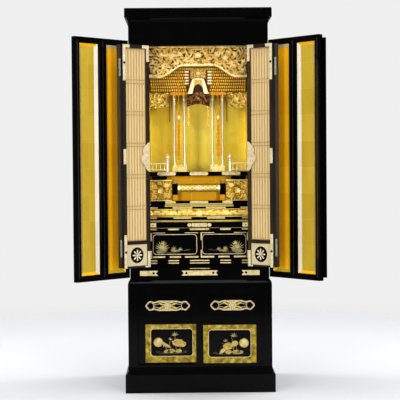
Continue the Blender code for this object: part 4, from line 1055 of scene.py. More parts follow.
def make_transom():
    """Transom: an arch of flowers, scrolls and leaves across the head of the bay."""
    box = Box("transom")
    half, high = box.right, box.high
    drop_centre = 0.084
    rows, leaves = 10, 17

    def lower_edge(x):
        shoulder = (box.tall - drop_centre) * smooth_step(0.064, 0.166, np.abs(x))
        return high - drop_centre - shoulder

    def place(u, v):
        x = (2 * u - 1) * half
        foot = lower_edge(x)
        return x, foot + (high - foot) * v

    carving = Carving(520, 120, place)
    seeds = random.Random(11)
    for side in (-1, 1):
        for row in range(rows):
            z = high - (0.010 + 0.0125 * row)
            for number in range(leaves):
                share = (number + 0.5 * (row % 2) + seeds.uniform(-0.2, 0.2)) / leaves
                x = side * (0.006 + (half - 0.012) * share)
                if z < float(lower_edge(np.array(x))) + 0.006:
                    continue
                turn = seeds.uniform(-1.5, 1.5) * side + (math.pi if side < 0 else 0.0)
                carving.stamp(leaf, x, z, seeds.uniform(0.009, 0.015), turn, seeds.uniform(0.24, 0.92))
        for x, drop, size in TRANSOM_FLOWERS:
            carving.stamp(blossom, side * x, high - drop, size * 0.72, 0.3 * side, 0.92)
        for x, drop, size, turn in TRANSOM_SCROLLS:
            carving.stamp(curl, side * x, high - drop, size, turn if side > 0 else math.pi - turn, 0.95)
    rise = carving.z - lower_edge(carving.x)
    wave = 0.0020 * np.sin(carving.x * 260) + 0.0012 * np.sin(carving.x * 611)
    carving.raise_to(0.46, (rise < 0.0105 + wave) & (rise > 0.0008))
    carving.raise_to(0.66, (rise < 0.0100 + wave) & (rise > 0.0060 + wave))
    carving.raise_to(0.40, carving.z > high - 0.004)
    carved_piece("transom_carving", carving, "transom", 0.012, 0.0005, CARVED)


def make_side_bands():
    """Carved bands with lobed lower edges, between the palace and the side walls."""
    rows, leaves = 7, 9
    for side, word in SIDES:
        box = Box(f"side_band_{word}")
        near, far = box.ends(side)
        high, tall = box.high, box.tall

        def place(u, v):
            lobe = 0.008 * np.abs(np.sin(3 * math.pi * u))
            return near + (far - near) * u, high - (tall - lobe) * (1 - v)

        carving = Carving(120, 84, place)
        seeds = random.Random(5)
        for row in range(rows):
            for number in range(leaves):
                x = near + (far - near) * (number + 0.5 * (row % 2) + 0.25) / leaves
                z = high - 0.006 - 0.0098 * row
                turn = seeds.uniform(-1.6, 1.6)
                carving.stamp(leaf, x, z, seeds.uniform(0.006, 0.011), turn * side, seeds.uniform(0.14, 0.95))
        forms = (
            (blossom, -0.004, 0.040, 0.012, 0.0, 1.0), (blossom, 0.028, 0.030, 0.010, 0.5, 0.95),
            (curl, -0.030, 0.026, 0.013, 1.0, 0.9), (curl, 0.012, 0.060, 0.011, 3.0, 0.9),
        )
        for form, out, rise, size, turn, lift in forms:
            carving.stamp(form, (near + far) / 2 + side * out, box.low + rise, size, turn, lift)
        carving.raise_to(0.17, True)
        carving.raise_to(0.36, carving.v < 0.05)
        carved_piece(f"side_band_carving_{word}", carving, f"side_band_{word}", 0.010, 0.0003, SHADED)


def make_side_panels():
    """Carved panels at either end of the recess, with leaves round an open flower."""
    for side, word in SIDES:
        box = Box(f"side_panel_{word}")
        near, far = box.ends(side)
        low, tall = box.low, box.tall
        middle = (near + far) / 2
        carving = Carving(180, 150, board(near, far, low, box.high))
        seeds = random.Random(9)
        rings = ((0.045, 0.011, 24), (0.036, 0.011, 19), (0.027, 0.011, 14), (0.018, 0.010, 9))
        for ring, (reach, size, count) in enumerate(rings):
            for number in range(count):
                turn = math.tau * (number + 0.5 * ring) / count
                x = middle + reach * 1.12 * math.cos(turn)
                z = low + tall * 0.47 + reach * math.sin(turn)
                carving.stamp(leaf, x, z, size * 0.7, seeds.uniform(-3.1, 3.1), seeds.uniform(0.10, 0.70))
        curls = ((-0.030, -0.020, 0.014, 0.4), (0.030, 0.020, 0.014, 3.4), (0.028, -0.024, 0.013, 2.0))
        for dx, dz, size, turn in curls:
            carving.stamp(curl, middle + side * dx, low + tall * 0.47 + dz, size, turn, 0.85)
        carving.stamp(blossom, middle, low + tall * 0.48, 0.013, 0.0, 1.0)
        carving.stamp(blossom, middle - side * 0.026, low + tall * 0.74, 0.011, 0.4, 0.9)
        xs = [near + (far - near) * share for share in (0.04, 0.96)]
        zs = [low + tall * share for share in (0.06, 0.94)]
        carving.scatter(seeds, 60, xs, zs, (0.005, 0.009), (-3.1, 3.1), (0.50, 1.0))
        carving.raise_to(0.15, True)
        carving.raise_to(0.62, (carving.v > 0.955) | (carving.v < 0.03))
        carved_piece(f"side_panel_carving_{word}", carving, f"side_panel_{word}", 0.012, 0.0003, SHADED)


def make_carved_step():
    """Carved step: a flower in the middle and leaves running out from it."""
    box = Box("carved_step")
    middle = (box.low + box.high) / 2
    carving = Carving(520, 44, board(box.left, box.right, box.low, box.high))
    carving.stamp(blossom, 0.0, middle, 0.0155, 0.0, 1.0)
    for side in (-1, 1):
        for number in range(11):
            x = side * (0.026 + 0.0178 * number)
            way = 1 if number % 2 else -1
            carving.stamp(leaf, x, middle + 0.0045 * way, 0.0142, side * 0.30 * way, 0.80)
            carving.stamp(leaf, x + side * 0.006, middle - 0.00675 * way, 0.0085, -side * 0.9 * way, 0.62)
            if number % 3 == 1:
                carving.stamp(curl, x + side * 0.010, middle - 0.0045 * way, 0.0080, 0.8 * number, 0.85)
        carving.stamp(blossom, side * 0.119, middle, 0.0120, 0.3, 0.95)
    seeds = random.Random(23)
    for _ in range(150):
        x = seeds.uniform(-0.212, 0.212)
        z = seeds.uniform(box.low + 0.006, box.high - 0.006)
        size = seeds.uniform(0.006, 0.011)
        turn = seeds.uniform(-0.7, 0.7) + (math.pi if x < 0 else 0.0)
        carving.stamp(leaf, x, z, size, turn, seeds.uniform(0.20, 0.70))
    carving.raise_to(0.16, True)
    carving.raise_to(0.60, (carving.v < 0.06) | (carving.v > 0.94))
    carved_piece("carved_step_relief", carving, "carved_step", 0.045, 0.0002, SHADED)


def make_gable():
    """Gable of the palace: a pale arch round a dark hollow with a gilt head, over leaves and scrolls."""
    box = Box("palace_gable")
    low, half = box.low, box.right

    def crest_line(u):
        return box.high - 0.072 * smooth_step(0.42, 1.02, np.abs(2 * u - 1))

    def place(u, v):
        foot = low + 0.012 * np.sin(math.pi * u)
        return (2 * u - 1) * half, foot + (crest_line(u) - foot) * v

    carving = Carving(200, 250, place)
    seeds = random.Random(3)
    for side in (-1, 1):
        xs = (side * 0.001, side * 0.047)
        zs = (low + 0.006, low + 0.068)
        carving.scatter(seeds, 70, xs, zs, (0.0035, 0.0065), (side * -1.6, side * 1.6), (0.25, 1.0))
        carving.stamp(curl, side * 0.020, low + 0.048, 0.006, 1.0 * side, 0.80)
        carving.stamp(curl, side * 0.034, low + 0.026, 0.006, 2.0 * side, 0.80)
    carving.stamp(blossom, 0.0, low + 0.036, 0.008, 0.0, 0.85)
    out = np.abs(carving.x)
    drop = crest_line(carving.u) - carving.z
    above = carving.z - (low + 0.056)
    leg = out > 0.0165 + 0.0095 * (1.0 - np.clip(above / 0.050, 0.0, 1.0)) ** 1.5
    inside = (~leg) & (above > 0.012)
    # The hollow inside the arch sinks and takes the darkest tone: painted shade
    carving.height = np.where(inside, 0.0, carving.height)
    carving.raise_to(0.60, inside & (above > 0.043 - 0.012 * (out / 0.0165) ** 2))
    carving.raise_to(0.88, (above > 0.0) & (drop > 0.001) & (leg | (drop < 0.0070)))
    carved_piece("gable_carving", carving, "palace_gable", 0.010, 0.0003, BROWN)


# Palace

# Roof: half length of the beam, its height, how far each tier of brackets stands out, and a tier's height
BEAM_HALF = 0.124
BEAM_H = 0.016
TIER_OUTS = (0.020, 0.028, 0.036, 0.044)
TIER_H = 0.026
EAVES_H = 0.012
ROOF_TAPER = 0.72
ROOF_RIBS = 31
BEAM_DOMES = 22
EAVES_BLOCKS = 44

# Crown's carving: its foot and head, half the gap it has in the brackets, and half the gable's gap below it
CROWN_LOW = 1.357
CROWN_HIGH = 1.401
CROWN_GAP = 0.034
GABLE_GAP = 0.050

# Section of a roof rib: distance across as a share of its half width, and depth
RIB_SECTION = ((-1.0, 0.012), (-0.7, 0.001), (0.0, -0.0015), (0.7, 0.001), (1.0, 0.012))


def bevelled_block(shape, xs, ys, zs, mark=0, carve=0.6, chamfer=0.0008):
    """Block with chamfered front edges."""
    x0, x1 = xs
    y0, y1 = ys
    z0, z1 = zs
    c = min(chamfer, (x1 - x0) / 3, (z1 - z0) / 3, (y1 - y0) / 3)
    outline = rectangle(x0, x1, z0, z1)
    face = rectangle(x0 + c, x1 - c, z0 + c, z1 - c)
    rings = [[(x, y, z) for x, z in ring] for ring, y in ((outline, y1), (outline, y0 + c), (face, y0))]
    shape.loft(rings, mark, carve)


def bracket(shape, x, front, back, z, wide, tall):
    """Bearing block of a bracket: a cube whose lower half draws in."""
    rings = []
    for level, pull in ((z, 0.30), (z + tall * 0.45, 0.0), (z + tall, 0.0)):
        half = wide / 2 * (1 - pull)
        near = front + wide / 2 * pull
        corners = ((x - half, near), (x + half, near), (x + half, back), (x - half, back))
        rings.append([(px, py, level) for px, py in corners])
    # Darker at the foot and paler at the top: painted shade below, painted highlight above
    shape.loft(rings, 0, [0.35, 0.80, 0.92])


def bracket_rows(shape, half, back, centre_y, z):
    """Four tiers of two rows of brackets, each with a board behind and a strip on top. Returns their top."""
    row_h = TIER_H / 2
    for tier, out in enumerate(TIER_OUTS):
        reach = half - 0.007 + 0.0015 * tier
        for row in range(2):
            near = centre_y - out - 0.003 * row + 0.003
            # Board behind the row at a dark tone: painted shade between the brackets
            bevelled_block(shape, (-reach, reach), (near + 0.009, back - 0.0004), (z, z + row_h), 0, 0.12)
            teeth = 42 + 2 * tier + row
            pitch = 2 * reach / teeth
            for number in range(teeth):
                x = -reach + pitch * (number + 0.5)
                if abs(x) < CROWN_GAP or z < CROWN_LOW and abs(x) < GABLE_GAP:
                    continue
                bracket(shape, x, near, near + 0.0105, z + 0.0003, pitch * 0.62, row_h * 0.80)
            levels = (z + row_h * 0.82, z + row_h - 0.0010)
            bevelled_block(shape, (-reach, reach), (near + 0.0045, near + 0.0100), levels, 0, 0.34)
            z += row_h
    return z


def roof_crown(front):
    """Small carving above the gable, between the brackets."""
    crown = Carving(110, 74, board(-0.033, 0.033, CROWN_LOW, CROWN_HIGH))
    seeds = random.Random(17)
    crown.scatter(seeds, 52, (-0.032, 0.032), (1.359, 1.399), (0.005, 0.009), (-3.0, 3.0), (0.25, 0.80))
    crown.stamp(blossom, 0.0, 1.378, 0.009, 0.0, 1.0)
    for side in (-1, 1):
        crown.stamp(curl, side * 0.018, 1.386, 0.007, 1.0 * side, 0.9)
        crown.stamp(curl, side * 0.024, 1.368, 0.007, 2.4 * side, 0.9)
    crown.raise_to(0.22, True)
    return crown.solid(front, 0.008, 0.010)


def roof_ribs(shape, box, reach, centre_y, z):
    """Ribbed roof that leans back from the eaves, over a plain body."""
    front, top = box.front + 0.005, box.high - 0.0002
    for number in range(ROOF_RIBS):
        share = 2 * (number + 0.5) / ROOF_RIBS - 1
        rings = []
        for step in range(5):
            rise = step / 4
            x = share * (reach - 0.006) * (1 - (1 - ROOF_TAPER) * rise)
            wide = 0.0040 * (1 - 0.2 * rise)
            near = front + (centre_y - 0.007 - front) * rise
            level = z - 0.001 + (top - z + 0.001) * rise
            rings.append([(x + wide * across, near + deep, level) for across, deep in RIB_SECTION])
        shape.loft(rings)
    foot = rectangle(-reach + 0.006, reach - 0.006, box.front + 0.010, box.back - 0.002)
    head = [(x * ROOF_TAPER, max(y, centre_y - 0.001)) for x, y in foot]
    shape.loft([[(x, y, z - 0.001) for x, y in foot], [(x, y, box.high - 0.0004) for x, y in head]], 0, 0.3)


def make_palace_roof():
    """Palace roof: beam, rows of brackets, blocks beside the gable, eaves and a ribbed roof behind."""
    box = Box("palace_roof")
    centre_y = Box("column_1").centre[1]
    low, front, back = box.low, box.front, box.back
    shape = Shape()
    beam_front = centre_y - 0.012
    bevelled_block(shape, (-BEAM_HALF, BEAM_HALF), (beam_front, back), (low, low + BEAM_H - 0.0005), 0, 0.45)
    for side in (-1, 1):
        for x in (0.062, 0.106):
            xs = (side * x - 0.0065, side * x + 0.0065)
            ys = (beam_front - 0.0035, beam_front + 0.002)
            bevelled_block(shape, xs, ys, (low - 0.0002, low + BEAM_H - 0.0003), 0, 0.55)
    for number in range(BEAM_DOMES):
        x = -BEAM_HALF + 2 * BEAM_HALF * (number + 0.5) / BEAM_DOMES
        shape.dome(x, low + 0.0078, 0.0034, beam_front + 0.0002, 0.0016, 8, 0, 0.75)
    z = bracket_rows(shape, box.right, back, centre_y, low + BEAM_H)
    near = centre_y - TIER_OUTS[3] - 0.010
    for side in (-1, 1):
        for level in (1.335, 1.3475, 1.360, 1.373, 1.386):
            zs = (level - 0.0040, level + 0.0034)
            bevelled_block(shape, span(side, 0.041, 0.059), (near, near + 0.014), zs, 1, 0.92, 0.0012)
            xs = span(side, 0.034, 0.041)
            shape.box((xs[0], near + 0.008, level - 0.0062), (xs[1], near + 0.018, level + 0.0062), 0, 0.02)
    shape.join(roof_crown(near + 0.007), 1)
    reach = box.right - 0.001
    bevelled_block(shape, (-reach, reach), (front + 0.0005, back - 0.001), (z, z + EAVES_H), 0, 0.30)
    for number in range(EAVES_BLOCKS):
        x = -reach + 2 * reach * (number + 0.5) / EAVES_BLOCKS
        zs = (z + 0.0012, z + 0.0080)
        bevelled_block(shape, (x - 0.0021, x + 0.0021), (front, front + 0.0075), zs, 0, 0.70)
    roof_ribs(shape, box, reach, centre_y, z + EAVES_H)
    piece("palace_roof_carving", shape, [ROWS, CARVED], "cabinet", ("palace_roof",))


# Column from foot to head: radius and height as shares of the plain shaft's radius and of the column
COLUMN_PROFILE = (
    (1.72, 0.000), (1.75, 0.004), (1.75, 0.012), (1.55, 0.015), (1.70, 0.019), (1.42, 0.025), (1.10, 0.031),
    (1.30, 0.034), (1.30, 0.039), (1.02, 0.043), (0.98, 0.060), (0.98, 0.245), (1.22, 0.250), (1.22, 0.262),
    (0.98, 0.267), (0.98, 0.560), (1.22, 0.565), (1.22, 0.577), (0.98, 0.582), (0.98, 0.880), (1.25, 0.888),
    (1.30, 0.905), (1.02, 0.912), (1.05, 0.935), (1.45, 0.952), (1.30, 0.962), (1.80, 0.984), (1.84, 1.0),
)
COLUMN_R = 0.0054
FOOT_PETALS = 10


def column_tone(share):
    """Tone at a share of the height, given as a carving value: darker at the head as painted shade, and brightest
    high and low on the shaft.
    """
    if share > 0.955:
        return 0.26
    return 0.92 if 0.56 < share < 0.89 or 0.05 < share < 0.25 else 0.74


def make_columns():
    """Gilt columns with lotus feet, ringed shafts and bracketed heads."""
    carve = [column_tone(place[1]) for place in COLUMN_PROFILE]
    for number in (1, 2, 3, 4):
        box = Box(f"column_{number}")
        centre = box.centre
        shape = Shape()
        profile = [(r * COLUMN_R, box.low + box.tall * z) for r, z in COLUMN_PROFILE]
        shape.turned(profile, centre, 20, 0, carve)
        for petal in range(FOOT_PETALS):
            turn = math.tau * petal / FOOT_PETALS
            x = centre[0] + COLUMN_R * 1.42 * math.cos(turn)
            y = centre[1] + COLUMN_R * 1.42 * math.sin(turn)
            rings = []
            for share, wide in ((0.0, 0.55), (0.45, 1.0), (0.8, 0.6), (1.0, 0.1)):
                z = box.low + 0.0012 + box.tall * 0.026 * share
                size = 0.0020 * wide
                turns = [turn + math.pi / 2 * quarter for quarter in range(4)]
                rings.append([(x + size * math.cos(angle), y + size * math.sin(angle), z) for angle in turns])
            shape.loft(rings, 0, 0.85)
        name = f"column_{number}"
        piece(f"{name}_turned", shape, [PALE_COLUMN], "cabinet", (name,), smooth=TURNED_SMOOTH)


def make_palace_trim():
    """Small carvings about the columns: foot scrolls, hanging strips, and dark strips at the sides that stand for
    side brackets and carry painted shade.
    """
    column = Box("column_1")
    centre_y = column.centre[1]
    floor = column.low
    for side, word in SIDES:

        def place(u, v):
            tall = 0.020 + 0.012 * np.abs(np.cos(2.5 * math.pi * u))
            return side * (0.052 + 0.064 * u), floor + tall * v

        foot = Carving(110, 40, place)
        for number in range(6):
            x = side * (0.058 + 0.0105 * number)
            odd = number % 2
            foot.stamp(leaf, x, floor + 0.014 + 0.004 * odd, 0.0085, side * (0.9 if odd else 2.2), 0.85)
            foot.stamp(curl, x + side * 0.004, floor + 0.009, 0.0050, 0.9 * number, 0.8)
        foot.raise_to(0.45, True)
        strip = Carving(16, 90, board(side * 0.0390, side * 0.0480, 1.147, 1.257))
        for number in range(9):
            strip.stamp(leaf, side * 0.0435, 1.155 + 0.0118 * number, 0.0065, 1.2 if number % 2 else 1.9, 0.8)
        strip.raise_to(0.34, True)
        shape = Shape()
        shape.join(foot.solid(centre_y - 0.014, 0.004, 0.002))
        shape.join(strip.solid(centre_y - 0.004, 0.003, 0.002), 1)
        # Dark strip at the side: a side bracket in painted shade
        ys = (centre_y - 0.004, centre_y + 0.012)
        bevelled_block(shape, span(side, 0.1240, 0.1285), ys, (1.170, 1.2845), 2, 0.32)
        piece(f"palace_trim_{word}", shape, [CARVED, SHADED, BROWN], "cabinet")


# Lamp from its drop to the top of its hood: radius and height as shares of the lamp's
LAMP_FOOT = (
    (0.06, 0.0), (0.22, 0.008), (0.40, 0.025), (0.26, 0.045), (0.20, 0.060), (0.48, 0.085), (0.66, 0.110),
    (0.68, 0.135), (0.50, 0.160), (0.36, 0.185),
)
LAMP_BEAD = ((0.34, 0.0), (0.50, 0.018), (0.56, 0.036), (0.50, 0.054))
LAMP_HOOD = (
    (0.36, 0.735), (0.46, 0.760), (0.52, 0.800), (0.90, 0.845), (1.0, 0.865), (0.62, 0.890), (0.40, 0.915),
    (0.50, 0.935), (0.30, 0.960), (0.14, 1.0),
)
LAMP_H = 0.215
LINK_PITCH = 0.008


def make_lamps():
    """Hanging lamps: a beaded rod, a flared hood, a slender beaded body, and a drop below."""
    profile = list(LAMP_FOOT)
    for bead in range(7):
        profile += [(r, 0.200 + 0.075 * bead + z) for r, z in LAMP_BEAD]
    profile += LAMP_HOOD
    for word in ("left", "right"):
        box = Box(f"lamp_{word}")
        centre = box.centre
        radius = (box.right - box.left) / 2 - 0.0002
        shape = Shape()
        points = [(r * radius, box.low + z * LAMP_H) for r, z in profile]
        # The band at the hood's rim takes the palest tone: a painted highlight
        carve = [0.95 if 0.83 < place[1] < 0.90 else 0.52 for place in profile]
        shape.turned(points + [(0.12 * radius, box.high)], centre, 20, 0, carve + [0.6])
        for number in range(int((box.tall - LAMP_H) / LINK_PITCH)):
            z = box.low + LAMP_H + 0.004 + LINK_PITCH * number
            bead = ((0.0008, -0.0028), (0.0021, -0.0014), (0.0025, 0.0), (0.0021, 0.0014), (0.0008, 0.0028))
            shape.turned([(r, z + rise) for r, rise in bead], centre, 8, 0, 0.5)
        piece(f"lantern_{word}", shape, [LAMP], "cabinet", (f"lamp_{word}",), smooth=TURNED_SMOOTH)


# Post of a railing with its onion finial, as shares of its radius and height, and a baluster in metres
POST_PROFILE = (
    (0.98, 0.0), (1.0, 0.01), (1.0, 0.07), (0.86, 0.09), (0.86, 0.50), (1.0, 0.52), (1.0, 0.60), (1.30, 0.63),
    (1.32, 0.655), (0.80, 0.675), (0.72, 0.70), (1.05, 0.735), (1.30, 0.79), (1.26, 0.84), (1.05, 0.885),
    (0.62, 0.92), (0.34, 0.95), (0.22, 0.975), (0.08, 0.998),
)
BALUSTER_PROFILE = (
    (0.0016, 0.0095), (0.0020, 0.013), (0.0011, 0.017), (0.0021, 0.022), (0.0012, 0.027), (0.0020, 0.031),
    (0.0016, 0.0345),
)


def make_railings():
    """Railings: a post with an onion finial, two rails, a strip between them and turned balusters."""
    near = 0.137
    for side, word in SIDES:
        box = Box(f"railing_{word}")
        low = box.low
        y = box.centre[1]
        far = side * box.ends(side)[1]
        xs = span(side, near, far)
        shape = Shape()
        post = [(r * 0.0085, low + z * box.tall) for r, z in POST_PROFILE]
        shape.turned(post, (side * near, y), 20, 1, 0.82)
        for z0, z1, deep in ((0.006, 0.0105, 0.0028), (0.0335, 0.0395, 0.0030)):
            bevelled_block(shape, xs, (y - deep, y + deep), (low + z0, low + z1), 0, 0.82)
        pitch = (far - near) / 4.4
        for number in range(4):
            x = side * (near + pitch * (number + 0.7))
            shape.turned([(r, low + z) for r, z in BALUSTER_PROFILE], (x, y), 12, 0, 0.82)
        bevelled_block(shape, (xs[0] + 0.004, xs[1]), (y - 0.0012, y + 0.0006), (low + 0.0110, low + 0.0130))
        gilt = [SHADED, PALE_COLUMN]
        node = f"railing_{word}"
        piece(f"railing_turned_{word}", shape, gilt, "cabinet", (node,), smooth=TURNED_SMOOTH)


def make_roll():
    """Roll of patterned gilt brocade with plain ends, between two black posts with gilt feet."""
    box = Box("roll_rail")
    y, z = box.centre[1], 0.878
    half, radius = 0.093, 0.0183
    foot_high = 0.8480
    stations, sides = 120, 48
    shape = Shape()
    rings = []
    carve = []
    for station in range(stations + 1):
        share = 2 * station / stations - 1
        out = abs(share)
        swell = 0.965 if out < 0.90 else 1.0
        ring = []
        for side in range(sides):
            turn = math.tau * side / sides
            flower = 0.5 + 0.5 * math.sin(6 * turn + 1.2) * math.cos(30 * share)
            size = radius * swell * (0.965 + 0.03 * flower)
            ring.append((share * half, y + size * math.cos(turn), z + size * math.sin(turn)))
            carve.append(0.95 if out > 0.90 else 0.16 + 0.66 * flower)
        rings.append(ring)
    shape.loft(rings)
    shape.carve = carve
    ys = (box.front + 0.0004, box.back)
    for side in (-1, 1):
        xs = span(side, half - 0.001, box.right - 0.0002)
        bevelled_block(shape, xs, ys, (foot_high, box.high), 1, 0.1, 0.0012)
        bevelled_block(shape, xs, ys, (box.low, foot_high + 0.0002), 2, 0.6, 0.0012)
    crest(shape, 0.0, z, 0.0135, y - radius + 0.0010, 3)
    looks = [SHADED, LACQUER, RECESS_LEAF, PALE_METAL]
    piece("roll_carved", shape, looks, "cabinet", ("roll_rail",), smooth=ROLLED_SMOOTH)


# Metal of the altar

def mirrored_plates(shape, front, rows, mark=0, proud=PLATE_T):
    """Metal plates on an upright face, each row (near, far, low, high, kind or kinds of its ends).

    A row is made on both sides, unless it starts left of the middle and so crosses it.
    """
    for near, far, low, high, *ends in rows:
        inner, outer = (ends or ["square"])[0], (ends or ["square"])[-1]
        outlines = [fitting(near, far, low, high, (inner, outer))]
        if near >= 0:
            outlines.append(fitting(-far, -near, low, high, (outer, inner)))
        for outline in outlines:
            shape.plate(outline, front - proud + SUNK, proud, mark=mark)


def make_altar_fittings():
    """Gilt plates on the black edges of the altar: floor, steps, case and sill."""
    metal, shaded, black, olive = range(4)
    shape = Shape()
    box = Box("altar_floor")
    z0, z1 = box.low + 0.0026, box.high - 0.0006
    mirrored_plates(shape, box.front, ((-0.041, 0.041, z0, z1, "round"), (0.1003, 0.1817, z0, z1, "round")))
    box = Box("upper_step")
    middle = (box.low + box.high) / 2
    z0, z1 = middle + 0.0008, box.high - 0.0006
    end = box.right - 0.0005
    mirrored_plates(shape, box.front, (
        (-0.0406, 0.0406, z0 + 0.006, z1, "round"),
        (0.1018, 0.147, z0 + 0.006, z1, "round", "square"),
        (0.2095, end, z0, z1, "fishtail", "square"),
    ))
    mirrored_plates(shape, box.front, ((-0.147, 0.147, z0, z0 + 0.0052),), olive)
    sunk = box.front + 0.009
    mirrored_plates(shape, sunk, ((-0.150, 0.150, box.low + 0.0086, middle - 0.0006),), olive)
    z0, z1 = box.low + 0.0008, box.low + 0.0074
    mirrored_plates(shape, sunk, ((0.030, 0.116, z0, z1), (0.181, end, z0, z1)))
    box = Box("lower_step")
    z0, z1 = box.low + box.tall * 0.62 + 0.0010, box.high - 0.0012
    ends = ("fishtail", "square")
    mirrored_plates(shape, box.front, ((0.033, 0.113, z0, z1, "fishtail"), (0.184, end, z0, z1, *ends)))
    mirrored_plates(shape, box.front + 0.003, ((-end, end, box.low + 0.0012, box.low + 0.0086),), olive)
    case_fittings(shape, metal, shaded, black)
    front = Box("sill").front
    z0, z1 = 0.5034, 0.5249
    mirrored_plates(shape, front, (
        (-0.078, 0.078, z0, z1, "fishtail"),
        (0.180, 0.2575, z0, z1, *ends),
        (-0.043, 0.043, 0.5322, 0.5346),
    ), metal, SILL_PLATE_T)
    for x in (-0.1985, -0.058, 0.058, 0.1985):
        shape.dome(x, 0.5142, 0.0052, front - SILL_PLATE_T + SUNK, 0.0002, 14, black)
    piece("altar_fittings", shape, [METAL, SHADED, LACQUER, OLIVE_LEAF], "cabinet")


def case_fittings(shape, metal, shaded, black):
    """Plates on the lip of the drawer case, round its openings, and the crest in the lip's middle."""
    case = Box("drawer_case")
    front, sunk = case.front, case.front + 0.004
    lip_h = 0.0205
    z0, z1 = case.high - lip_h + 0.0012, case.high - 0.0012
    mirrored_plates(shape, front, (
        (-0.0330, 0.0330, z0 + 0.001, z1 - 0.001),
        (0.0342, 0.0520, z0 + 0.001, z1 - 0.001, "round"),
        (0.2052, 0.2136, 0.6515, 0.6860),
        (0.2052, 0.2136, 0.5740, 0.6090),
    ))
    mirrored_plates(shape, front, ((0.1865, 0.2135, z0, z1),), shaded)
    mirrored_plates(shape, sunk, ((-0.2140, 0.2140, 0.7062, 0.7074),))
    for x in (-0.2000, 0.2000):
        shape.dome(x, (z0 + z1) / 2, 0.0026, front - PLATE_T + SUNK, 0.0006, 12, black)
    for z0, z1, y in ((0.6975, 0.7045, sunk), (0.5633, 0.5684, front), (0.5526, 0.5578, front)):
        bars = ((-0.0425, 0.0425, "round"), (0.0889, 0.136, "round"), (0.1826, 0.2150, "round", "square"))
        mirrored_plates(shape, y, [(near, far, z0, z1, *ends) for near, far, *ends in bars])
    crest(shape, 0.0, 0.7197, 0.0070, front - PLATE_T - 0.0002, metal)


def make_recess_trim():
    """Black bars across the side panels, and small carvings at the head of the recess."""
    shape = Shape()
    for side, word in SIDES:
        outline = fitting(*span(side, 0.137, 0.207), 0.9145, 0.9292, ("point", "point"))
        shape.plate(outline, Box(f"side_panel_{word}").front - 0.004, 0.012, 0.0008)
    piece("recess_bars", shape, [LACQUER], "cabinet")
    front = Box("roll_rail").back - 0.004
    for side, word in SIDES:

        def place(u, v):
            tall = 0.0125 + 0.006 * np.sin(math.pi * u)
            return side * (0.0985 + 0.0320 * u), 0.9130 - tall * (1 - v)

        corner = Carving(60, 60, place)
        xs = (side * 0.100, side * 0.130)
        corner.scatter(random.Random(31), 34, xs, (0.895, 0.913), (0.004, 0.007), (-3.0, 3.0), (0.2, 0.9))
        corner.raise_to(0.20, True)
        shape = corner.solid(front, 0.003, 0.002)
        piece(f"recess_corner_{word}", shape, [SHADED], "cabinet")


# Pictures

PAINT_T = 0.0003
PAINT_BEVEL = 0.00008


def petal_outline(x, z, length, width, turn):
    """Pointed petal from its foot at x, z, leaning by turn from upright."""
    edge = []
    for step in range(13):
        share = step / 12
        half = width / 2 * math.sin(math.pi * share ** 0.8) * (1.0 - 0.25 * share)
        edge.append((share * length, half))
    outline = edge + [(along, -half) for along, half in edge[-2:0:-1]]
    c, s = math.cos(turn), math.sin(turn)
    return [(x + half * c + along * s, z + along * c - half * s) for along, half in outline]


def lotus(shape, x, z, size, turn, mark, edge, front):
    """Open lotus seen from the side: a fan of edged petals, the near ones over the far ones."""
    for layer, (count, spread, length) in enumerate(((5, 1.20, 1.0), (3, 0.52, 0.76))):
        for number in range(count):
            lean = (2 * number / (count - 1) - 1) * spread
            lift = 0.00004 * (count * layer + number)
            reach = size * length
            outline = petal_outline(x, z, reach * (1 - 0.10 * abs(lean)), size * 0.24, turn + lean)
            shape.plate(outline, front - lift, PAINT_T + lift, 0.00004, edge)
            reach *= 0.92 - 0.10 * abs(lean)
            outline = petal_outline(x, z + size * 0.04, reach, size * 0.13, turn + lean)
            shape.plate(outline, front - lift - 0.00006, PAINT_T, 0.00004, mark)


def lotus_leaf(shape, x, z, half_w, half_h, turn, mark, vein, front):
    """Lotus leaf: a wavy disc seen at a slant, with veins from its centre."""
    c, s = math.cos(turn), math.sin(turn)

    def at(share, angle):
        along = half_w * share * math.cos(angle)
        up = half_h * share * math.sin(angle)
        return x + along * c - up * s, z + along * s + up * c

    outline = []
    for step in range(36):
        angle = math.tau * step / 36
        outline.append(at(1.0 + 0.07 * math.sin(7 * angle) + 0.04 * math.sin(11 * angle + 1.0), angle))
    shape.plate(outline, front, PAINT_T, PAINT_BEVEL, mark)
    for number in range(11):
        angle = math.tau * (number + 0.3) / 11
        path = [at(share, angle) for share in (0.10, 0.5, 0.88)]
        shape.ribbon(path, (0.0005, 0.0004, 0.0002), front - 0.0001, 0.0002, vein)


def stem(shape, start, end, bow, width, mark, front):
    """Curved stem between two points, bowed sideways."""
    path = []
    for step in range(9):
        share = step / 8
        lean = bow * math.sin(math.pi * share)
        path.append((start[0] + (end[0] - start[0]) * share + lean, start[1] + (end[1] - start[1]) * share))
    shape.ribbon(path, [width] * 9, front, PAINT_T, mark)


def water(shape, x, z, half, mark, front):
    """Thin ripple."""
    path = [(x + half * (2 * step / 10 - 1), z + 0.0008 * math.sin(step * 1.3)) for step in range(11)]
    widths = [0.0002 + 0.0008 * math.sin(math.pi * step / 10) for step in range(11)]
    shape.ribbon(path, widths, front, PAINT_T, mark)


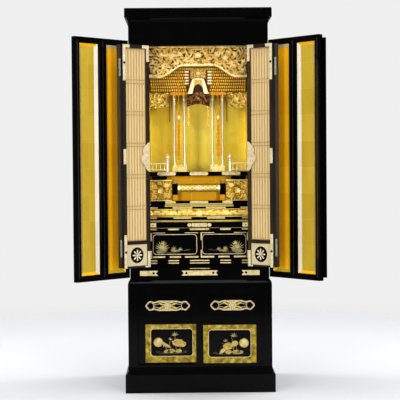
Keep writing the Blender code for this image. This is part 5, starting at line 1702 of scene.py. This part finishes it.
def make_lotus_drawers():
    """Gilt line, corner fittings and a lotus picture on each lotus drawer."""
    metal, gold, silver, dim = range(4)
    for side, word in SIDES:
        box = Box(f"lotus_drawer_{word}")
        near, far = box.ends(side)
        low, high, wide = box.low, box.high, box.right - box.left
        shape = Shape()
        left, right = sorted((near + side * 0.0064, far - side * 0.0008))
        line_w = 0.0026
        line_t = 0.0026
        outer = rounded(left, right, low + 0.0145, high - 0.0078, 0.0150)
        inner = rounded(left + line_w, right - line_w, low + 0.0171, high - 0.0104, 0.0124)
        band(shape, outer, inner, box.front - 0.0008, line_t)
        foot, head = (low + 0.0004, low + 0.0076), (high - 0.0036, high - 0.0004)
        strips = [(wide - 0.0536, wide - 0.0004, *head), (0.0004, 0.0588, *head), (0.0762, 0.1245, *foot)]
        strips += [(wide - 0.0536, wide - 0.0004, *foot), (0.0004, 0.0588, *foot)]
        if side > 0:
            uprights = ((high - 0.034, high - 0.0034), (low + 0.0074, low + 0.034))
            strips += [(0.0004, 0.0058, z0, z1) for z0, z1 in uprights]
        for start, end, z0, z1 in strips:
            x0, x1 = sorted((near + side * start, near + side * end))
            shape.plate(rectangle(x0, x1, z0, z1), box.front - PLATE_T + SUNK, mark=metal)
        picture = box.front + 0.0015 - PAINT_T
        ground = low + 0.020

        def at(share, level):
            """Point on the picture, from the inner edge to the outer, and from its foot up."""
            return near + (far - near) * share, ground + level

        lotus_leaf(shape, *at(0.80, 0.012), 0.025, 0.0120, -side * 0.25, dim, gold, picture)
        x, z = at(0.86, 0.028)
        for number in range(9):
            outline = petal_outline(x - side * 0.012, z - 0.008, 0.036, 0.0038, -1.45 + 0.36 * number)
            shape.plate(outline, picture - 0.0001, 0.0004, PAINT_BEVEL, (gold, silver)[number % 2])
        bud = silver if side < 0 else gold
        flowers = (
            (0.77, 0.038, 0.0185, -0.15, silver, 0.0003), (0.74, 0.016, 0.0165, 0.10, gold, 0.0003),
            (0.54, 0.016, 0.0160, 0.20, gold, 0.0), (0.40, 0.014, 0.0140, -0.10, bud, 0.0),
        )
        for share, level, size, lean, mark, lift in flowers:
            lotus(shape, *at(share, level), size, side * lean, mark, dim, picture - lift)
        lotus_leaf(shape, *at(0.50, 0.011), 0.0210, 0.0050, 0.0, dim, gold, picture + 0.0001)
        ripples = ((0.30, 0.012, 0.020), (0.22, 0.016, 0.012), (0.62, 0.003, 0.040), (0.85, 0.002, 0.024))
        for share, level, half in ripples:
            water(shape, *at(share, level), half, dim, picture)
        paints = [METAL, GOLD_PAINT, SILVER_PAINT, DIM_PAINT]
        piece(f"lotus_trim_{word}", shape, paints, f"lotus_drawer_{word}")


# Upper right quarter of a cartouche's outline, in millimetres from its centre
CARTOUCHE_QUARTER = (
    (0.0, 24.0), (39.0, 24.0), (50.0, 20.5), (58.0, 18.0), (66.0, 20.5), (74.5, 22.8), (81.5, 20.6),
    (87.5, 14.0), (93.0, 7.5), (96.0, 0.0),
)
CARTOUCHE_SQUEEZE = 0.91
CARTOUCHE_OUT = 0.1394
CARTOUCHE_LEVEL = 0.375
CARTOUCHE_T = 0.0020

# Its scrolls: points, widths, how far back they lie, and thickness
CARTOUCHE_SCROLLS = (
    (((0.0590, 0.0145), (0.0640, 0.0090), (0.0570, 0.0050), (0.0610, 0.0)), (0.0036, 0.0030, 0.0028, 0.0040),
     0.0002, 0.0018),
    (((0.0180, 0.0020), (0.0360, 0.0090), (0.0560, 0.0040)), (0.0028, 0.0022, 0.0018), 0.0004, 0.0016),
)

# Its leaves: foot, length, width, lean, how far back they lie, and thickness
CARTOUCHE_LEAVES = (
    (0.0200, 0.0040, 0.0240, 0.0085, 0.45, 0.0003, 0.0017),
    (0.0100, 0.0130, 0.0200, 0.0070, 0.15, 0.0005, 0.0015),
)


def make_cartouches():
    """Openwork cartouche with a flower and leaves, on each base drawer."""
    outline = [(x / 1000, CARTOUCHE_SQUEEZE * z / 1000) for x, z in CARTOUCHE_QUARTER]
    outline += [(x, -z) for x, z in outline[-2::-1]]
    outline += [(-x, z) for x, z in outline[-2:0:-1]]
    for side, word in SIDES:
        cx, cz = side * CARTOUCHE_OUT, CARTOUCHE_LEVEL
        face = Box(f"base_drawer_{word}").front - CARTOUCHE_T
        shape = Shape()
        outer = [(cx + x, cz + z) for x, z in reversed(outline)]
        band(shape, outer, inset(outer, 0.0050), face, CARTOUCHE_T, 0, 0.8, 0.0006)
        second = inset(outer, 0.0058)
        band(shape, second, inset(second, 0.0012), face + 0.0008, 0.0012, 1, 0.5, 0.0003)
        for way in (-1, 1):
            for up in (-1, 1):
                for path, widths, back, thickness in CARTOUCHE_SCROLLS:
                    path = [(cx + way * x, cz + up * z) for x, z in path]
                    shape.ribbon(path, widths, face + back, thickness)
                for x, z, length, width, lean, back, thickness in CARTOUCHE_LEAVES:
                    turn = way * (math.pi / 2 - up * lean)
                    form = petal_outline(cx + way * x, cz + up * z, length, width, turn)
                    shape.plate(form, face + back, thickness, 0.0005, 1)
        rings = ((10, 0.0062, 0.0155, 0.0), (8, 0.0036, 0.0105, 0.0008))
        for ring, (count, reach, size, lift) in enumerate(rings):
            for number in range(count):
                turn = math.tau * (number + 0.5 * ring) / count
                x = cx + reach * math.sin(turn) * 1.15
                z = cz + reach * math.cos(turn)
                form = petal_outline(x, z, size, 0.0082 - 0.002 * ring, turn)
                shape.plate(form, face - lift, CARTOUCHE_T + lift, 0.0006, ring)
        shape.dome(cx, cz, 0.0050, face - 0.0008, 0.0018, 16)
        piece(f"cartouche_{word}", shape, [PLAQUE_METAL, OLIVE_LEAF], f"base_drawer_{word}")


# Sliding doors: gold border and its opening, as distances from the door's left and right ends, low and high
BORDERS = {
    -1: ((0.0305, 0.0183, 0.1278, 0.2928), (0.0543, 0.0521, 0.1560, 0.2720)),
    1: ((0.0309, 0.0261, 0.1252, 0.2897), (0.0543, 0.0508, 0.1512, 0.2676)),
}

# Their ponds. A place is its distance from the picture's middle towards the door's outer edge, and its level.
# "off" moves the middle and lowers the picture. "leaves" shifts the low leaves, "stems" stretches the stems.
PONDS = {
    -1: {
        "off": (0.0, 0.0), "moon": (0.0570, 0.2150),
        "flower": (-0.0155, 0.2420), "bud": (0.0050, 0.2250),
        "big_leaf": (-0.0300, 0.2120), "big_w": 0.0270, "second_leaf": (-0.0480, 0.2060),
        "petals": (0.0200, 0.2060), "petal_lean": 1.0, "leaves": 0.0, "stems": 1.0,
    },
    1: {
        "off": (0.003, 0.0046), "moon": (0.0664, 0.2150),
        "flower": (0.0230, 0.2420), "bud": (-0.0130, 0.2220),
        "big_leaf": (-0.0030, 0.2010), "big_w": 0.0210, "second_leaf": (0.0260, 0.2130),
        "petals": (-0.0300, 0.1890), "petal_lean": 0.4, "leaves": 0.030, "stems": -0.8,
    },
}

# Low leaves: place, half width and half height
LOW_LEAVES = (
    (0.0180, 0.1755, 0.0150, 0.0075), (0.0020, 0.1770, 0.0170, 0.0085), (-0.0300, 0.1765, 0.0140, 0.0080),
)

# Stems: head, foot and bow
STEMS = (
    (-0.0155, 0.242, -0.0240, 0.176, 0.004), (-0.0330, 0.206, -0.0300, 0.172, -0.003),
    (0.0050, 0.225, 0.0020, 0.178, 0.005), (0.0330, 0.216, 0.0140, 0.178, 0.004),
    (-0.0420, 0.204, -0.0380, 0.170, 0.002),
)

# Ripples: place and half length
RIPPLES = (
    (0.045, 0.1690, 0.022), (-0.045, 0.1700, 0.024), (0.0, 0.1655, 0.050), (0.055, 0.1760, 0.012),
    (-0.058, 0.1760, 0.012),
)
MOON_R = 0.0202
MOON_DISC_R = 0.0150


def pond(side, middle, face):
    """Lotus pond under a moon."""
    gold, silver, dim, rose = range(4)
    places = PONDS[side]
    shift, drop = places["off"]

    def spot(dx, z):
        """Point of the picture, dx from its middle towards the outer edge."""
        return middle - shift + side * dx, z - drop

    shape = Shape()
    moon = spot(*places["moon"])
    shape.plate(scalloped(*moon, MOON_R, 24, 0.02, 96), face, PAINT_T, 0.0001, gold)
    shape.plate(circle(*moon, MOON_DISC_R), face - 0.0002, 0.0004, 0.0001, silver)
    lotus(shape, *spot(*places["flower"]), 0.0200, side * 0.10, gold, dim, face - 0.0004)
    big = spot(*places["big_leaf"])
    lotus_leaf(shape, *big, places["big_w"], 0.0160, 0.10 * side, gold, dim, face - 0.0002)
    lotus_leaf(shape, *spot(*places["second_leaf"]), 0.0150, 0.0120, 0.3, gold, dim, face)
    lotus(shape, *spot(*places["bud"]), 0.0125, -side * 0.2, rose, dim, face - 0.0003)
    x, z = spot(*places["petals"])
    for number in range(5):
        turn = math.pi + side * (0.9 - 0.2 * number) * places["petal_lean"]
        lift = 0.0001 * (number % 3)
        outline = petal_outline(x + side * 0.004 * number, z + 0.003 * number, 0.026, 0.0075, turn)
        shape.plate(outline, face - lift, PAINT_T + lift, PAINT_BEVEL, (gold, silver)[number % 2])
    for dx, z, half_w, half_h in LOW_LEAVES:
        lotus_leaf(shape, *spot(dx + places["leaves"], z), half_w, half_h, 0.12, gold, dim, face - 0.0001)
    for dx0, z0, dx1, z1, bow in STEMS:
        ends = [spot(dx * places["stems"], z) for dx, z in ((dx0, z0), (dx1, z1))]
        stem(shape, *ends, bow * side, 0.0013, gold, face + 0.00005)
    for dx, z, half in RIPPLES:
        water(shape, *spot(dx, z), half, dim, face)
    return shape


def make_sliding_doors():
    """Gold border with a pale inner line, and a lotus pond under a moon, on each sliding door."""
    for side, word in SIDES:
        box = Box(f"sliding_door_{word}")
        body = f"sliding_door_{word}"
        frames = [(box.left + start, box.right - end, z0, z1) for start, end, z0, z1 in BORDERS[side]]
        corners = rounded(*frames[0], 0.0010)
        hole = rounded(*frames[1], 0.0120)
        shape = Shape()
        band(shape, corners, inset(hole, -0.0024), box.front - 0.0006, 0.0009, 0, 0.7, 0.0002)
        band(shape, inset(hole, -0.0026), hole, box.front - 0.0010, 0.0038, 1, 0.9, 0.0004)
        piece(f"gold_border_{word}", shape, [AGED_GOLD, METAL], body)
        shape = pond(side, box.centre[0], box.front + 0.003 - PAINT_T)
        piece(f"lotus_pond_{word}", shape, [GOLD_PAINT, SILVER_PAINT, DIM_PAINT, ROSE_PAINT], body)


# Camera, lights and stage

def make_camera():
    """Camera where the photo was taken from."""
    data = bpy.data.cameras.new("camera")
    data.lens = LENS
    data.sensor_width = SENSOR_W
    data.clip_end = CLIP_END
    camera = bpy.data.objects.new("camera", data)
    camera.location = EYE
    camera.rotation_euler = [math.radians(turn) for turn in (90.0 - CAMERA_TILT, CAMERA_ROLL, CAMERA_YAW)]
    bpy.context.scene.collection.objects.link(camera)
    bpy.context.scene.camera = camera


def make_light(name, spot, target, size, power):
    """Soft rectangular light at a spot, aimed at a target."""
    data = bpy.data.lights.new(name, "AREA")
    data.shape = "RECTANGLE"
    data.size, data.size_y = size
    data.energy = power
    made = bpy.data.objects.new(name, data)
    made.location = spot
    made.rotation_euler = (Vector(target) - made.location).to_track_quat("-Z", "Y").to_euler()
    made.visible_camera = False
    bpy.context.scene.collection.objects.link(made)


def make_lights():
    """Softboxes at both sides and above, fills beside and above the camera, and two lights at the back."""
    make_light("left_softbox", (-3.0, -3.0, 1.9), (0.0, -0.1, 0.9), (1.6, 2.4), 22.0)
    make_light("right_softbox", (3.0, -3.0, 1.9), (0.0, -0.1, 0.9), (1.6, 2.4), 26.0)
    make_light("left_fill", (-2.2, -5.4, 1.25), (0.0, -0.1, 1.1), (1.2, 1.8), 152.0)
    make_light("right_fill", (2.2, -5.4, 1.25), (0.0, -0.1, 1.1), (1.2, 1.8), 148.0)
    make_light("top_softbox", (0.0, -0.4, 4.2), (0.0, -0.1, 0.0), (5.0, 4.0), 230.0)
    make_light("front_fill", (0.0, -5.2, 3.6), (0.0, -0.1, 0.9), (1.6, 1.0), 25.0)
    for side in (-1, 1):
        make_light(f"rear_light_{side}", (side * 2.6, 0.9, 3.6), (side * 0.9, 3.2, 0.6), (1.6, 1.6), 90.0)
    world = bpy.data.worlds.new("studio")
    world.use_nodes = True
    shade = world.node_tree.nodes["Background"]
    shade.inputs[0].default_value = SKY_COLOUR
    shade.inputs[1].default_value = SKY_POWER
    bpy.context.scene.world = world


def staged(name, mesh, material):
    """Object that isn't part of the altar."""
    mesh.materials.append(material)
    made = bpy.data.objects.new(name, mesh)
    bpy.context.scene.collection.objects.link(made)
    return made


def make_stage():
    """Pale floor that fades out into a plain backdrop all round, which takes no part in the light."""
    floor = bpy.data.meshes.new("floor")
    corners = [(x, y, 0.0) for x, y in circle(0.0, 0.0, FLOOR_RADIUS, FLOOR_SIDES)]
    floor.from_pydata(corners, [], [list(range(FLOOR_SIDES))])
    looks = Looks("floor_paint", Roughness=0.7)
    tint = looks.ramp(looks.noise(0.7), ((0.2, (0.585, 0.588, 0.600)), (0.8, (0.600, 0.603, 0.615))))
    looks.feed(looks.shader.inputs["Base Color"], tint)
    reach = looks.node("ShaderNodeVectorMath", {"Vector": looks.where}, operation="LENGTH").outputs["Value"]
    edges = {"Value": reach, "From Min": FLOOR_FADE, "From Max": FLOOR_RADIUS, "To Min": 1.0, "To Max": 0.0}
    fade = looks.node("ShaderNodeMapRange", edges, interpolation_type="SMOOTHSTEP").outputs[0]
    looks.feed(looks.shader.inputs["Alpha"], fade)
    staged("floor", floor, looks.made)
    dome = bpy.data.meshes.new("backdrop")
    ball = bmesh.new()
    bmesh.ops.create_uvsphere(ball, u_segments=48, v_segments=24, radius=BACKDROP_RADIUS)
    ball.to_mesh(dome)
    ball.free()
    looks = Looks("backdrop_paint", Roughness=1.0, Specular_IOR_Level=0.0, Emission_Strength=1.0)
    looks.feed(looks.shader.inputs["Base Color"], (0.0, 0.0, 0.0, 1.0))
    near, far = [(tone, tone, tone * 1.003) for tone in (BACKDROP_TONE * 0.996, BACKDROP_TONE * 1.004)]
    glow = looks.ramp(looks.noise(0.1), ((0.2, near), (0.8, far)))
    looks.feed(looks.shader.inputs["Emission Color"], glow)
    backdrop = staged("backdrop", dome, looks.made)
    for kind in ("diffuse", "glossy", "transmission", "volume_scatter", "shadow"):
        setattr(backdrop, f"visible_{kind}", False)


STEPS = (
    finish_nodes, make_outer_doors, make_lattice_doors, make_transom, make_side_bands, make_side_panels,
    make_carved_step, make_gable, make_palace_roof, make_columns, make_palace_trim, make_lamps, make_railings,
    make_roll, make_altar_fittings, make_recess_trim, make_lotus_drawers, make_cartouches, make_sliding_doors,
    make_stage, make_lights, make_camera,
)
for make in STEPS:
    make()
bpy.context.scene.view_settings.view_transform = "Standard"
